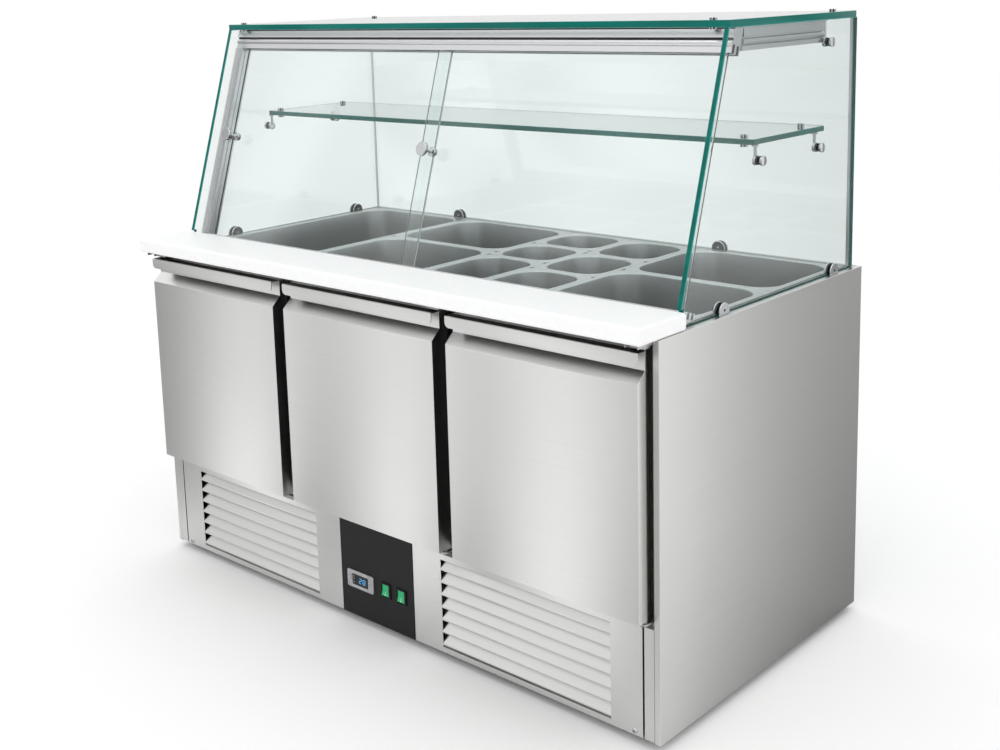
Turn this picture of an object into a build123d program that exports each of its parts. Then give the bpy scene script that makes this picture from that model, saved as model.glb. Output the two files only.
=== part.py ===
"""Refrigerated saladette: a three-door cabinet with a pan well, a cutting board and a glass case.

Millimetres, +Z up, +X to the right, the doors face -Y. The origin is the bottom centre.
"""
from build123d import *
import os
from math import atan2, cos, radians, sin, tan

os.makedirs("parts", exist_ok=True)

# Overall cabinet
width = 1365
body_depth = 698
body_top = 720
foot_height = 15
sheet = 1.2
seat_gap = 0.3
side_flange = 12

# Cutting board
board_overhang = 52
board_depth = 134
board_height = 30
board_edge_radius = 5
board_arm_width = 26
board_arm_rib = 6.5

# Machine compartment
compartment_top = 222
base_sheet = 1.5
base_flange = 20
base_setback = 18
foot_radius = 20
foot_pad = 6
foot_stem_radius = 5
foot_stem_length = 24
foot_nut_radius = 10
foot_nut_height = 8
foot_inset_x = 90.2
foot_inset_y = 95

# Cooled cavity
door_zone_setback = 16
frame_depth = 30
frame_sheet = 1.5
side_wall = 27
rear_wall = 27.5
floor_wall = 35
ceiling_wall = 28
well_wall_front = 92
liner = 1
liner_flange = 13
back_recess = 13.2

# Doors
door_margin = 18.95
door_gap = 33.7
door_bottom_gap = 17.4
door_top_gap = 16
door_thickness = 40.6
door_proud = 32.6
door_sheet = 1
chamfer_height = 19.2
chamfer_depth = 21.3
chamfer_top_drop = 33.7
handle_sheet = 1.5
handle_lip = 22
handle_corner = 10
seal_overlap = 26
gasket_inset = 12
gasket_width = 12
plug_inset = 34
plug_depth = 22

# Hinges
pivot_inset = 6.5
pivot_setback = 25.1
pin_radius = 2.5
pin_clearance = 0.06
pin_length = 12
hinge_plate = 3.5
hinge_gap = 3
hinge_washer_gap = 0.2
hinge_washer_radius = 5
hinge_inboard = 24
hinge_outboard = 10
hinge_reach = 12
hinge_corner = 8
hinge_flange = 11
trim_width = 36
trim_thickness = 1
trim_end_gap = 1

# Lower front panel
post_width = 20
post_gap = 3.5
post_depth = 30
panel_bottom_gap = 2
panel_depth = 15.2
louvre_plate_gap = 76
louvre_end_gap = 66.7
louvre_bottom_gap = 11
louvre_top_gap = 12.1
louvre_count = 7
slat_drop = 19
slat_back = 12
slat_lip = 2.5
screw_inset = 16.7
screw_height = 25
screw_head_radius = 5.5
screw_head_height = 3
screw_shank_radius = 2
screw_shank_length = 8

# Controls
plate_half_width = 104
plate_sheet = 1.5
controls_height = 97.5
window_half_width = 92
window_half_height = 40
bezel_width = 76
bezel_height = 37
bezel_thickness = 3
bezel_x = -46
bezel_radius = 4
controller_body_width = 70
controller_body_height = 30
controller_body_depth = 60
cutout_gap = 0.4
display_width = 46
display_height = 23
display_thickness = 2
button_width = 7
button_height = 12
button_offset = 28
button_gap = 0.2
button_proud = 0.8
button_depth = 2
button_travel_room = 1.5
switch_xs = (26, 70)
switch_width = 30
switch_height = 33
switch_rim = 2.2
switch_radius = 4
switch_body_width = 25
switch_body_height = 30
switch_body_depth = 24
rocker_width = 19
rocker_radius = 13
rocker_gap = 0.3
rocker_face = 5
rocker_back = 6
rocker_angle = radians(14)
rocker_pin_radius = 2
rocker_pin_length = 1.6
box_half_width = 95
box_half_height = 42
box_depth = 82

# Pans
pan_bearing = 6.8
pans_front_gap = 51
pan_depth = 150
pan_rim = 10
pan_rim_thickness = 1.2
pan_rim_radius = 12
pan_corner = 52
pan_corner_share = 0.34
pan_wall = 1
pan_taper = 3
pan_gap = 0.6
pan_seat = 1.5
pans_rear_inset = 35
collar_lip = 3.9
collar_height = 1.5
bar_width = 16
bar_height = 8
long_pan_length = 230

# Glass case
glass_height = 484
case_lean = 144
pane = 10
pane_inset = 12.5
pane_step = 6.5
nose_gap = 1
rear_pane = 6
rear_pane_inset = 16
top_pane = 12
top_pane_overlap = 2
case_shelf = 10
case_shelf_drop = 197
case_shelf_front_gap = 94
case_shelf_rear_gap = 97
case_shelf_gap = 5
case_shelf_corner = 6

# Case fittings
clamp_radius = 16
clamp_centre = 5
clamp_thickness = 4.6
clamp_bolt = 4
bolt_clearance = 1
clamp_front_inset = 125
clamp_rear_inset = 76
rear_clamp_x = 368
support_radius = 9
support_thickness = 7.5
support_drop = 27
support_front_inset = 9
support_rear_inset = 38
upright_radius = 3
upright_inset = 6.5
upright_pad_radius = 6
upright_pad = 3
top_support_inset = 103
top_support_drop = 42
stud_radius = 7
stud_height = 4
stud_bolt = 2.8
top_stud_inset_x = 40
shelf_stud_inset_x = 28
stud_inset_y = 16
shelf_stud_rear_inset = 41

# Sliding doors, measured square to the slanted front (n) and up along it (s)
track_near = 22
track_far = 50
front_track = 30
rear_track = 43
door_glass = 5
groove = 7
rail_drop = 37
rail_groove_depth = 16
guide_groove_depth = 12
door_rail_entry = 12
post_face = 27
post_wall = 2.5
post_entry = 8
right_door_left_edge = -10
left_door_right_edge = 17
knob_inset = 34
knob_up = 232
knob_base_radius = 10
knob_base = 5
knob_stem_radius = 4
knob_stem = 22
knob_radius = 14
knob_disc = 8
knob_nut_radius = 8
knob_nut = 3
knob_bolt = 3.5
corner_bar = 8
side_rail_width = 15
side_rail_height = 42

# Machinery
compressor_inset_x = 220.2
compressor_inset_y = 231.8
compressor_radius = 64
compressor_height = 140
compressor_dome = 28
compressor_plate = 3
compressor_plate_x = 190
compressor_plate_y = 150
mount_radius = 10
mount_height = 16
coil_inset_x = 420.2
coil_setback = 88
coil_depth = 50
coil_width = 240
coil_headroom = 26
coil_bottom = 26
coil_fin_count = 24
coil_fin = 2
coil_header = 6
coil_core_share = 1 / 3
shroud_sheet = 1.5
shroud_radius = 74
shroud_ring = 34
shroud_arm = 10
shroud_hub_radius = 24
fan_radius = 70
fan_hub_radius = 18
fan_hub_length = 14
fan_offset = 10
fan_blade_count = 5
fan_blade_chord = 26
fan_blade_thickness = 2
fan_blade_pitch = 28
shaft_radius = 4
shaft_clearance = 0.05
motor_radius = 34
motor_length = 48
pipe_radius = 5
pipe_clearance = 0.5
pipe_inset_x = 340.2
pipe_bend = 30
evaporator_half_width = 300
evaporator_depth = 30
evaporator_lift = 43
evaporator_height = 120
evaporator_fin_count = 40
evaporator_header = 24
evaporator_end = 10
tray_length = 260
tray_depth = 180
tray_height = 30
tray_inset_x = 350.2
tray_inset_y = 161.8
vent_length = 220
vent_height = 6
vent_pitch = 16
vent_count = 7
vent_inset_x = 340.2
vent_z = 110
gland_radius = 12
gland_hole_radius = 8
gland_bore_radius = 5
gland_inset_x = 170.2
gland_z = 90
gland_length = 9

# Storage shelves
shelf_lift = 143
shelf_rim_wire = 3
shelf_cross_wire = 2.5
shelf_wire_overrun = 1.5
shelf_wire = 1.5
shelf_wire_count = 12
shelf_front_gap = 38.3
shelf_side_gap = 3
runner_width = 14
runner_sheet = 1.5
upright_size = 16

# Places that follow
half_width = width / 2
depth = body_depth + board_overhang
rear = depth / 2
front = rear - body_depth
core_x = half_width - side_flange - seat_gap
deck_bottom = body_top - base_sheet
frame_face = front + door_zone_setback
frame_rear = frame_face + frame_depth
back_inner = rear - back_recess
cavity_x = core_x - side_wall
cavity_rear = back_inner - rear_wall
cavity_floor = compartment_top + floor_wall
cavity_ceiling = deck_bottom - ceiling_wall
well_front = frame_rear + well_wall_front
base_top = foot_height + base_sheet
foot_x = core_x - foot_inset_x

board_front = front - board_overhang
board_rear = board_front + board_depth
board_top = body_top + board_height

door_width = (width - 2 * door_margin - 2 * door_gap) / 3
door_bottom = compartment_top + door_bottom_gap
door_top = body_top - door_top_gap
door_front = front - door_proud
door_rear = door_front + door_thickness
door_step = door_front + chamfer_depth
chamfer_top = door_top - chamfer_top_drop
gasket_rear = frame_face - seat_gap
pivot_y = door_front + pivot_setback
door_pitch = door_width + door_gap
door_centres = (-door_pitch, 0, door_pitch)
door_names = ("left", "middle", "right")
door_hinges = (-1, 1, 1)
mullion_x = door_pitch / 2

pane_outer = half_width - pane_inset
pane_inner = pane_outer - pane
pane_bottom = body_top + seat_gap
rear_pane_back = rear - rear_pane_inset
rear_pane_front = rear_pane_back - rear_pane
nose_y = board_rear + nose_gap
nose_z = board_top + nose_gap
glass_top = body_top + glass_height
case_front_top = nose_y + case_lean
slant = atan2(case_lean, glass_top - nose_z)
rail_bottom = (glass_top - nose_z) / cos(slant) - rail_drop
inside_x = pane_inner - seat_gap
case_shelf_x = pane_inner - case_shelf_gap
case_shelf_front = case_front_top + case_shelf_front_gap
case_shelf_rear = rear_pane_front - case_shelf_rear_gap
case_shelf_top = glass_top - case_shelf_drop
case_shelf_bottom = case_shelf_top - case_shelf

pans_rear = rear - pans_rear_inset
pans_front = board_rear + pans_front_gap
pan_length = pans_rear - pans_front
pans_x = cavity_x + pan_bearing
seat_z = body_top + pan_seat
rim_z = seat_z + pan_rim_thickness

panel_bottom = foot_height + panel_bottom_gap
panel_top = compartment_top - panel_bottom_gap
panel_x = core_x - post_width - post_gap
louvre_near = plate_half_width + louvre_plate_gap
louvre_far = panel_x - louvre_end_gap
louvre_bottom = panel_bottom + louvre_bottom_gap
louvre_pitch = (panel_top - louvre_top_gap - louvre_bottom) / louvre_count
screw_x = panel_x - screw_inset
plate_front = front - plate_sheet
bezel_front = plate_front - bezel_thickness
rocker_pivot_y = plate_front + rocker_face

compressor_x = core_x - compressor_inset_x
compressor_y = back_inner - compressor_inset_y
coil_x = core_x - coil_inset_x
coil_front = front + coil_setback
coil_height = compartment_top - coil_headroom - coil_bottom
pipe_x = core_x - pipe_inset_x
pipe_y = cavity_rear - evaporator_depth / 2
evaporator_bottom = cavity_floor + evaporator_lift
tray_x = tray_inset_x - core_x
tray_y = back_inner - tray_inset_y
vent_x = core_x - vent_inset_x
gland_x = gland_inset_x - core_x
shelf_level = cavity_floor + shelf_lift


def across(side, near, far):
    """Give two X stations, mirrored for the left side."""
    return (near, far) if side > 0 else (-far, -near)


def about(centre, half):
    """Give two stations at equal distances from a centre."""
    return (centre - half, centre + half)


def block(x, y, z, mode=Mode.ADD):
    """Add a block between two stations on each axis."""
    with Locations(((x[0] + x[1]) / 2, (y[0] + y[1]) / 2, (z[0] + z[1]) / 2)):
        Box(x[1] - x[0], y[1] - y[0], z[1] - z[0], mode=mode)


def bar_x(outline, x, mode=Mode.ADD):
    """Add a bar along X whose section is an outline of (y, z) points."""
    with BuildSketch(Plane.YZ.offset(x[0])) as section_sketch:
        Polygon(*outline, align=None)
    extrude(section_sketch.sketch, amount=x[1] - x[0], mode=mode)


def rod(start, direction, radius, length, mode=Mode.ADD):
    """Add a round bar from a point along a direction."""
    with Locations(Plane(origin=start, z_dir=direction)):
        Cylinder(radius, length, align=(Align.CENTER, Align.CENTER, Align.MIN), mode=mode)


def slanted(n, s):
    """Give the (y, z) place n behind the slanted glass edge and s up along it."""
    y = nose_y + s * sin(slant) + n * cos(slant)
    z = nose_z + s * cos(slant) - n * sin(slant)
    return (y, z)


def slanted_to(n, z):
    """Give the (y, z) place n behind the slanted glass edge at a height z."""
    s = (z - nose_z + n * sin(slant)) / cos(slant)
    return slanted(n, s)


# Side panels: trays with a flange all round
for side_name, side in (("left", -1), ("right", 1)):
    with BuildPart() as side_panel:
        block(across(side, half_width - side_flange, half_width), (front, rear), (foot_height, body_top))
        block(
            across(side, half_width - side_flange, half_width - sheet),
            (front + sheet, rear - sheet),
            (foot_height + sheet, body_top - sheet),
            mode=Mode.SUBTRACT,
        )
    side_panel.part.label = f"side_panel_{side_name}"
    export_step(side_panel.part, f"parts/side_panel_{side_name}.step")

# Back panel: a tray that opens backwards, with vents and a hole for the cord gland
with BuildPart() as back_panel:
    block((-core_x, core_x), (back_inner, rear), (base_top, deck_bottom))
    block(
        (-core_x + sheet, core_x - sheet),
        (back_inner + sheet, rear),
        (base_top + sheet, deck_bottom - sheet),
        mode=Mode.SUBTRACT,
    )
    with BuildSketch(Plane.XZ.offset(-rear)) as vents:
        with Locations((vent_x, vent_z), (-vent_x, vent_z)):
            with GridLocations(0, vent_pitch, 1, vent_count):
                SlotOverall(vent_length, vent_height)
        with Locations((gland_x, gland_z)):
            Circle(gland_hole_radius)
    extrude(amount=rear - back_inner, mode=Mode.SUBTRACT)
back_panel.part.label = "back_panel"
export_step(back_panel.part, "parts/back_panel.step")

# Cord gland: a neck through the panel and a flange outside it
gland_rear = back_inner + sheet + gland_length
with BuildPart() as cord_gland:
    rod((gland_x, back_inner, gland_z), (0, 1, 0), gland_hole_radius - seat_gap, gland_rear - back_inner)
    rod((gland_x, back_inner + sheet, gland_z), (0, 1, 0), gland_radius, gland_length)
    rod(
        (gland_x, back_inner, gland_z),
        (0, 1, 0),
        gland_bore_radius,
        gland_rear - back_inner,
        mode=Mode.SUBTRACT,
    )
cord_gland.part.label = "cord_gland"
export_step(cord_gland.part, "parts/cord_gland.step")

# Base tray with a nut over each foot
foot_places = [
    (x, y)
    for x in (-foot_x, 0, foot_x)
    for y in (front + foot_inset_y, rear - foot_inset_y)
]
base_rear = back_inner - seat_gap
with BuildPart() as base_tray:
    block((-core_x, core_x), (front + base_setback, base_rear), (foot_height, base_top))
    for y in ((front + base_setback, front + base_setback + base_sheet), (base_rear - base_sheet, base_rear)):
        block((-panel_x, panel_x), y, (base_top, foot_height + base_flange))
    for x, y in foot_places:
        rod((x, y, base_top), (0, 0, 1), foot_nut_radius, foot_nut_height)
        rod(
            (x, y, foot_height),
            (0, 0, 1),
            foot_stem_radius + seat_gap,
            foot_stem_length,
            mode=Mode.SUBTRACT,
        )
base_tray.part.label = "base_tray"
export_step(base_tray.part, "parts/base_tray.step")

# Levelling feet: pad, lock nut and threaded stem
with BuildPart() as levelling_feet:
    for x, y in foot_places:
        rod((x, y, 0), (0, 0, 1), foot_radius, foot_pad)
        rod((x, y, foot_pad), (0, 0, 1), foot_nut_radius, foot_height - foot_pad)
        rod((x, y, foot_height), (0, 0, 1), foot_stem_radius, foot_stem_length - foot_height)
levelling_feet.part.label = "levelling_feet"
export_step(levelling_feet.part, "parts/levelling_feet.step")


def liner_envelope(mode):
    """Add or cut the outside of the liner: cavity, open well and front flange."""
    outer_x = (-cavity_x - liner, cavity_x + liner)
    block(
        outer_x,
        (frame_rear, cavity_rear + liner),
        (cavity_floor - liner, cavity_ceiling + liner),
        mode=mode,
    )
    block(outer_x, (well_front - liner, cavity_rear + liner), (cavity_ceiling, deck_bottom), mode=mode)
    block(
        (-cavity_x - liner_flange, cavity_x + liner_flange),
        (frame_rear, frame_rear + liner),
        (cavity_floor - liner_flange, cavity_ceiling + liner_flange),
        mode=mode,
    )


def pipe_hole():
    """Cut the passage of the suction line through the cavity floor."""
    rod(
        (pipe_x, pipe_y, compartment_top),
        (0, 0, 1),
        pipe_radius + pipe_clearance,
        floor_wall,
        mode=Mode.SUBTRACT,
    )


# Foam between the liner and the outer panels
with BuildPart() as cabinet_insulation:
    block(
        (-half_width + sheet, half_width - sheet),
        (frame_rear, back_inner),
        (compartment_top, deck_bottom),
    )
    liner_envelope(Mode.SUBTRACT)
    pipe_hole()
cabinet_insulation.part.label = "cabinet_insulation"
export_step(cabinet_insulation.part, "parts/cabinet_insulation.step")

# Inner liner, open at the front and under the pans
with BuildPart() as inner_liner:
    liner_envelope(Mode.ADD)
    block(
        (-cavity_x, cavity_x),
        (frame_rear, cavity_rear),
        (cavity_floor, cavity_ceiling),
        mode=Mode.SUBTRACT,
    )
    block(
        (-cavity_x, cavity_x),
        (well_front, cavity_rear),
        (cavity_ceiling, deck_bottom),
        mode=Mode.SUBTRACT,
    )
    pipe_hole()
inner_liner.part.label = "inner_liner"
export_step(inner_liner.part, "parts/inner_liner.step")

# Front frame: face with three door openings, folded back, and the two corner posts
opening_half = door_width / 2 - seal_overlap
opening_bottom = door_bottom + seal_overlap
opening_top = door_top - seal_overlap
frame_top = deck_bottom - seat_gap
with BuildPart() as front_frame:
    block((-core_x, core_x), (frame_face, frame_rear), (compartment_top, frame_top))
    for centre in door_centres:
        block(
            about(centre, opening_half),
            (frame_face, frame_rear),
            (opening_bottom, opening_top),
            mode=Mode.SUBTRACT,
        )
    hollow_y = (frame_face + frame_sheet, frame_rear)
    inner_x = core_x - frame_sheet
    stile_x = door_pitch + opening_half + frame_sheet
    rails = (
        (compartment_top + frame_sheet, opening_bottom - frame_sheet),
        (opening_top + frame_sheet, frame_top - frame_sheet),
    )
    for z in rails:
        block((-inner_x, inner_x), hollow_y, z, mode=Mode.SUBTRACT)
    for side in (-1, 1):
        block(across(side, stile_x, inner_x), hollow_y, (rails[0][0], rails[1][1]), mode=Mode.SUBTRACT)
        block(
            across(side, opening_half + frame_sheet, door_pitch - opening_half - frame_sheet),
            (frame_face + frame_sheet, frame_rear - frame_sheet),
            (rails[0][0], rails[1][1]),
            mode=Mode.SUBTRACT,
        )
        block(
            across(side, core_x - post_width, core_x),
            (front, front + post_depth),
            (panel_bottom, compartment_top),
        )
        block(
            across(side, core_x - post_width + sheet, core_x - sheet),
            (front + sheet, front + post_depth),
            (panel_bottom, compartment_top - sheet),
            mode=Mode.SUBTRACT,
        )
front_frame.part.label = "front_frame"
export_step(front_frame.part, "parts/front_frame.step")

# Hinge brackets: a plate and pin under and over each door
plate_low = door_bottom - hinge_gap - hinge_plate
plate_high = door_top + hinge_gap
hinge_front = pivot_y - hinge_reach


def pivot_x(index):
    """Give the hinge line of one door."""
    return door_centres[index] + door_hinges[index] * (door_width / 2 - pivot_inset)


def hinge_x(index):
    """Give the X stations of one door's hinge plates."""
    side = door_hinges[index]
    near = side * pivot_x(index) - hinge_inboard
    return across(side, near, near + hinge_inboard + hinge_outboard)


with BuildPart() as hinge_brackets:
    for index in range(len(door_names)):
        plates = (
            (plate_low, plate_low - hinge_flange + hinge_plate, 1),
            (plate_high, plate_high, -1),
        )
        for plate_z, flange_z, up in plates:
            stations = hinge_x(index)
            with BuildSketch(Plane.XY.offset(plate_z)) as plate_sketch:
                with Locations(((stations[0] + stations[1]) / 2, (hinge_front + frame_face) / 2)):
                    Rectangle(stations[1] - stations[0], frame_face - hinge_front)
                fillet(plate_sketch.vertices().group_by(Axis.Y)[0], radius=hinge_corner)
            extrude(amount=hinge_plate)
            block(stations, (frame_face - hinge_plate, frame_face), (flange_z, flange_z + hinge_flange))
            face_z = plate_z + hinge_plate if up > 0 else plate_z
            place = (pivot_x(index), pivot_y, face_z)
            rod(place, (0, 0, up), hinge_washer_radius, hinge_gap - hinge_washer_gap)
            rod(place, (0, 0, up), pin_radius, hinge_gap + pin_length)
hinge_brackets.part.label = "hinge_brackets"
export_step(hinge_brackets.part, "parts/hinge_brackets.step")

# Black trims on the two mullions
with BuildPart() as mullion_trims:
    for side in (-1, 1):
        block(
            about(side * mullion_x, trim_width / 2),
            (frame_face - trim_thickness, frame_face),
            (plate_low + hinge_plate + trim_end_gap, plate_high - trim_end_gap),
        )
mullion_trims.part.label = "mullion_trims"
export_step(mullion_trims.part, "parts/mullion_trims.step")

# Doors: steel skin with a folded handle, foamed inner panel and gasket
door_outline = (
    (door_rear, door_bottom),
    (door_front, door_bottom),
    (door_front, chamfer_top - chamfer_height),
    (door_step, chamfer_top),
    (door_step, door_top),
    (door_rear, door_top),
)
door_outline_long = (
    (door_rear + door_thickness, door_bottom),
    *door_outline[1:-1],
    (door_rear + door_thickness, door_top),
)


def door_filling(x, mode=Mode.ADD):
    """Add or cut the space inside a door skin."""
    with BuildSketch(Plane.YZ.offset(x[0] + door_sheet)) as filling:
        Polygon(*door_outline_long, align=None)
        offset(amount=-door_sheet, kind=Kind.INTERSECTION, mode=Mode.REPLACE)
        with Locations((door_rear + door_thickness, (door_bottom + door_top) / 2)):
            Rectangle(2 * door_thickness, 2 * door_top, mode=Mode.SUBTRACT)
    extrude(filling.sketch, amount=x[1] - x[0] - 2 * door_sheet, mode=mode)


def pin_holes(index):
    """Cut the two pin holes of a door."""
    for z, up in ((door_bottom, 1), (door_top, -1)):
        rod(
            (pivot_x(index), pivot_y, z),
            (0, 0, up),
            pin_radius + pin_clearance,
            pin_length + hinge_washer_gap,
            mode=Mode.SUBTRACT,
        )


for index, door_name in enumerate(door_names):
    centre = door_centres[index]
    door_x = about(centre, door_width / 2)
    with BuildPart() as door_skin:
        bar_x(door_outline, door_x)
        door_filling(door_x, Mode.SUBTRACT)
        block(door_x, (door_front, door_step), (door_top - handle_sheet, door_top))
        with BuildSketch(Plane.XZ.offset(-door_front)) as lip:
            with Locations((centre, door_top - handle_lip / 2)):
                Rectangle(door_width, handle_lip)
            fillet(lip.vertices().group_by(Axis.Z)[0], radius=handle_corner)
        extrude(amount=-handle_sheet)
        pin_holes(index)
    door_skin.part.label = f"door_skin_{door_name}"
    export_step(door_skin.part, f"parts/door_skin_{door_name}.step")

    with BuildPart() as door_core:
        door_filling(door_x)
        block(
            about(centre, door_width / 2 - plug_inset),
            (door_rear, door_rear + plug_depth),
            (door_bottom + plug_inset, door_top - plug_inset),
        )
        pin_holes(index)
    door_core.part.label = f"door_core_{door_name}"
    export_step(door_core.part, f"parts/door_core_{door_name}.step")

    with BuildPart() as door_gasket:
        for inset, mode in ((gasket_inset, Mode.ADD), (gasket_inset + gasket_width, Mode.SUBTRACT)):
            block(
                about(centre, door_width / 2 - inset),
                (door_rear, gasket_rear),
                (door_bottom + inset, door_top - inset),
                mode=mode,
            )
    door_gasket.part.label = f"door_gasket_{door_name}"
    export_step(door_gasket.part, f"parts/door_gasket_{door_name}.step")

# Lower front panel: a tray with two louvre openings and a window for the controls
with BuildPart() as lower_front_panel:
    block((-panel_x, panel_x), (front, front + panel_depth), (panel_bottom, panel_top))
    block(
        (-panel_x + sheet, panel_x - sheet),
        (front + sheet, front + panel_depth),
        (panel_bottom + sheet, panel_top - sheet),
        mode=Mode.SUBTRACT,
    )
    for side in (-1, 1):
        block(
            across(side, louvre_near, louvre_far),
            (front, front + sheet),
            (louvre_bottom, louvre_bottom + louvre_count * louvre_pitch),
            mode=Mode.SUBTRACT,
        )
        rod((side * screw_x, front, screw_height), (0, 1, 0), screw_shank_radius, sheet, mode=Mode.SUBTRACT)
    block(
        (-window_half_width, window_half_width),
        (front, front + sheet),
        about(controls_height, window_half_height),
        mode=Mode.SUBTRACT,
    )
lower_front_panel.part.label = "lower_front_panel"
export_step(lower_front_panel.part, "parts/lower_front_panel.step")

# Louvre slats: sloping blades with a short lip at the lower front edge
with BuildPart() as louvre_slats:
    for side in (-1, 1):
        for row in range(louvre_count):
            top_z = louvre_bottom + (row + 1) * louvre_pitch
            low_z = top_z - slat_drop
            blade = (
                (front + slat_back, top_z),
                (front, low_z),
                (front, low_z - slat_lip),
                (front + sheet, low_z - slat_lip),
                (front + sheet, low_z),
                (front + slat_back + sheet, top_z),
            )
            bar_x(blade, across(side, louvre_near, louvre_far))
louvre_slats.part.label = "louvre_slats"
export_step(louvre_slats.part, "parts/louvre_slats.step")

# Domed screws of the lower front panel
dome_radius = (screw_head_radius**2 + screw_head_height**2) / (2 * screw_head_height)
with BuildPart() as panel_screws:
    for side in (-1, 1):
        with BuildSketch(Plane.XY.offset(screw_height)) as screw_half:
            with BuildLine():
                Polyline(
                    (side * screw_x, front - screw_head_height),
                    (side * screw_x, front + screw_shank_length),
                    (side * screw_x + screw_shank_radius, front + screw_shank_length),
                    (side * screw_x + screw_shank_radius, front),
                    (side * screw_x + screw_head_radius, front),
                )
                RadiusArc(
                    (side * screw_x + screw_head_radius, front),
                    (side * screw_x, front - screw_head_height),
                    dome_radius,
                )
            make_face()
        revolve(axis=Axis((side * screw_x, front, screw_height), (0, 1, 0)))
panel_screws.part.label = "panel_screws"
export_step(panel_screws.part, "parts/panel_screws.step")

# Control plate, cut for the controller and the two switches
with BuildPart() as control_plate:
    block((-plate_half_width, plate_half_width), (plate_front, front), (panel_bottom, panel_top))
    block(
        about(bezel_x, controller_body_width / 2 + cutout_gap),
        (plate_front, front),
        about(controls_height, controller_body_height / 2 + cutout_gap),
        mode=Mode.SUBTRACT,
    )
    for switch_x in switch_xs:
        block(
            about(switch_x, switch_body_width / 2 + cutout_gap),
            (plate_front, front),
            about(controls_height, switch_body_height / 2 + cutout_gap),
            mode=Mode.SUBTRACT,
        )
control_plate.part.label = "control_plate"
export_step(control_plate.part, "parts/control_plate.step")

# Temperature controller: bezel and body, display window and two keys
button_rear = bezel_front - button_proud + button_depth
with BuildPart() as controller_housing:
    with BuildSketch(Plane.XZ.offset(-plate_front)) as bezel_face:
        with Locations((bezel_x, controls_height)):
            RectangleRounded(bezel_width, bezel_height, bezel_radius)
    extrude(amount=bezel_thickness)
    block(
        about(bezel_x, controller_body_width / 2),
        (plate_front, plate_front + controller_body_depth),
        about(controls_height, controller_body_height / 2),
    )
    block(
        about(bezel_x, display_width / 2),
        (bezel_front, bezel_front + display_thickness),
        about(controls_height, display_height / 2),
        mode=Mode.SUBTRACT,
    )
    for side in (-1, 1):
        block(
            about(bezel_x + side * button_offset, button_width / 2 + button_gap),
            (bezel_front, button_rear + button_travel_room),
            about(controls_height, button_height / 2 + button_gap),
            mode=Mode.SUBTRACT,
        )
controller_housing.part.label = "controller_housing"
export_step(controller_housing.part, "parts/controller_housing.step")

with BuildPart() as controller_display:
    block(
        about(bezel_x, display_width / 2),
        (bezel_front, bezel_front + display_thickness),
        about(controls_height, display_height / 2),
    )
controller_display.part.label = "controller_display"
export_step(controller_display.part, "parts/controller_display.step")

for side_name, side in (("left", -1), ("right", 1)):
    with BuildPart() as controller_button:
        block(
            about(bezel_x + side * button_offset, button_width / 2),
            (bezel_front - button_proud, button_rear),
            about(controls_height, button_height / 2),
        )
    controller_button.part.label = f"controller_button_{side_name}"
    export_step(controller_button.part, f"parts/controller_button_{side_name}.step")

# Switch frames, each with a rocker on two short pins
with BuildPart() as switch_frames:
    for switch_x in switch_xs:
        with BuildSketch(Plane.XZ.offset(-plate_front)) as switch_face:
            with Locations((switch_x, controls_height)):
                RectangleRounded(switch_width, switch_height, switch_radius)
        extrude(amount=switch_rim)
        block(
            about(switch_x, switch_body_width / 2),
            (plate_front, plate_front + switch_body_depth),
            about(controls_height, switch_body_height / 2),
        )
        block(
            about(switch_x, rocker_width / 2 + rocker_gap),
            (plate_front - switch_rim, rocker_pivot_y + rocker_radius + rocker_gap),
            about(controls_height, rocker_radius + rocker_gap),
            mode=Mode.SUBTRACT,
        )
        rod(
            (switch_x - rocker_width / 2 - rocker_pin_length, rocker_pivot_y, controls_height),
            (1, 0, 0),
            rocker_pin_radius + pin_clearance,
            rocker_width + 2 * rocker_pin_length,
            mode=Mode.SUBTRACT,
        )
switch_frames.part.label = "switch_frames"
export_step(switch_frames.part, "parts/switch_frames.step")

for side_name, switch_x in zip(("left", "right"), switch_xs):
    with BuildPart() as switch_rocker:
        with BuildSketch(Plane.YZ.offset(switch_x - rocker_width / 2)) as rocker_side:
            with Locations((rocker_pivot_y, controls_height)):
                Circle(rocker_radius)
            low_front = rocker_pivot_y - rocker_face - rocker_radius * tan(rocker_angle)
            Polygon(
                (rocker_pivot_y - rocker_face, controls_height + rocker_radius),
                (rocker_pivot_y - rocker_face, controls_height),
                (low_front, controls_height - rocker_radius),
                (rocker_pivot_y + rocker_back, controls_height - rocker_radius),
                (rocker_pivot_y + rocker_back, controls_height + rocker_radius),
                align=None,
                mode=Mode.INTERSECT,
            )
        extrude(amount=rocker_width)
        rod(
            (switch_x - rocker_width / 2 - rocker_pin_length, rocker_pivot_y, controls_height),
            (1, 0, 0),
            rocker_pin_radius,
            rocker_width + 2 * rocker_pin_length,
        )
    switch_rocker.part.label = f"switch_rocker_{side_name}"
    export_step(switch_rocker.part, f"parts/switch_rocker_{side_name}.step")

# Electrical box behind the controls, with a leg on the base
box_front = front + sheet
with BuildPart() as electrical_box:
    block(
        (-box_half_width, box_half_width),
        (box_front, box_front + box_depth),
        about(controls_height, box_half_height),
    )
    block(
        (-box_half_width + sheet, box_half_width - sheet),
        (box_front, box_front + box_depth - sheet),
        about(controls_height, box_half_height - sheet),
        mode=Mode.SUBTRACT,
    )
    block(
        (-box_half_width, box_half_width),
        (box_front + box_depth - sheet, box_front + box_depth),
        (base_top, controls_height),
    )
electrical_box.part.label = "electrical_box"
export_step(electrical_box.part, "parts/electrical_box.step")

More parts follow.
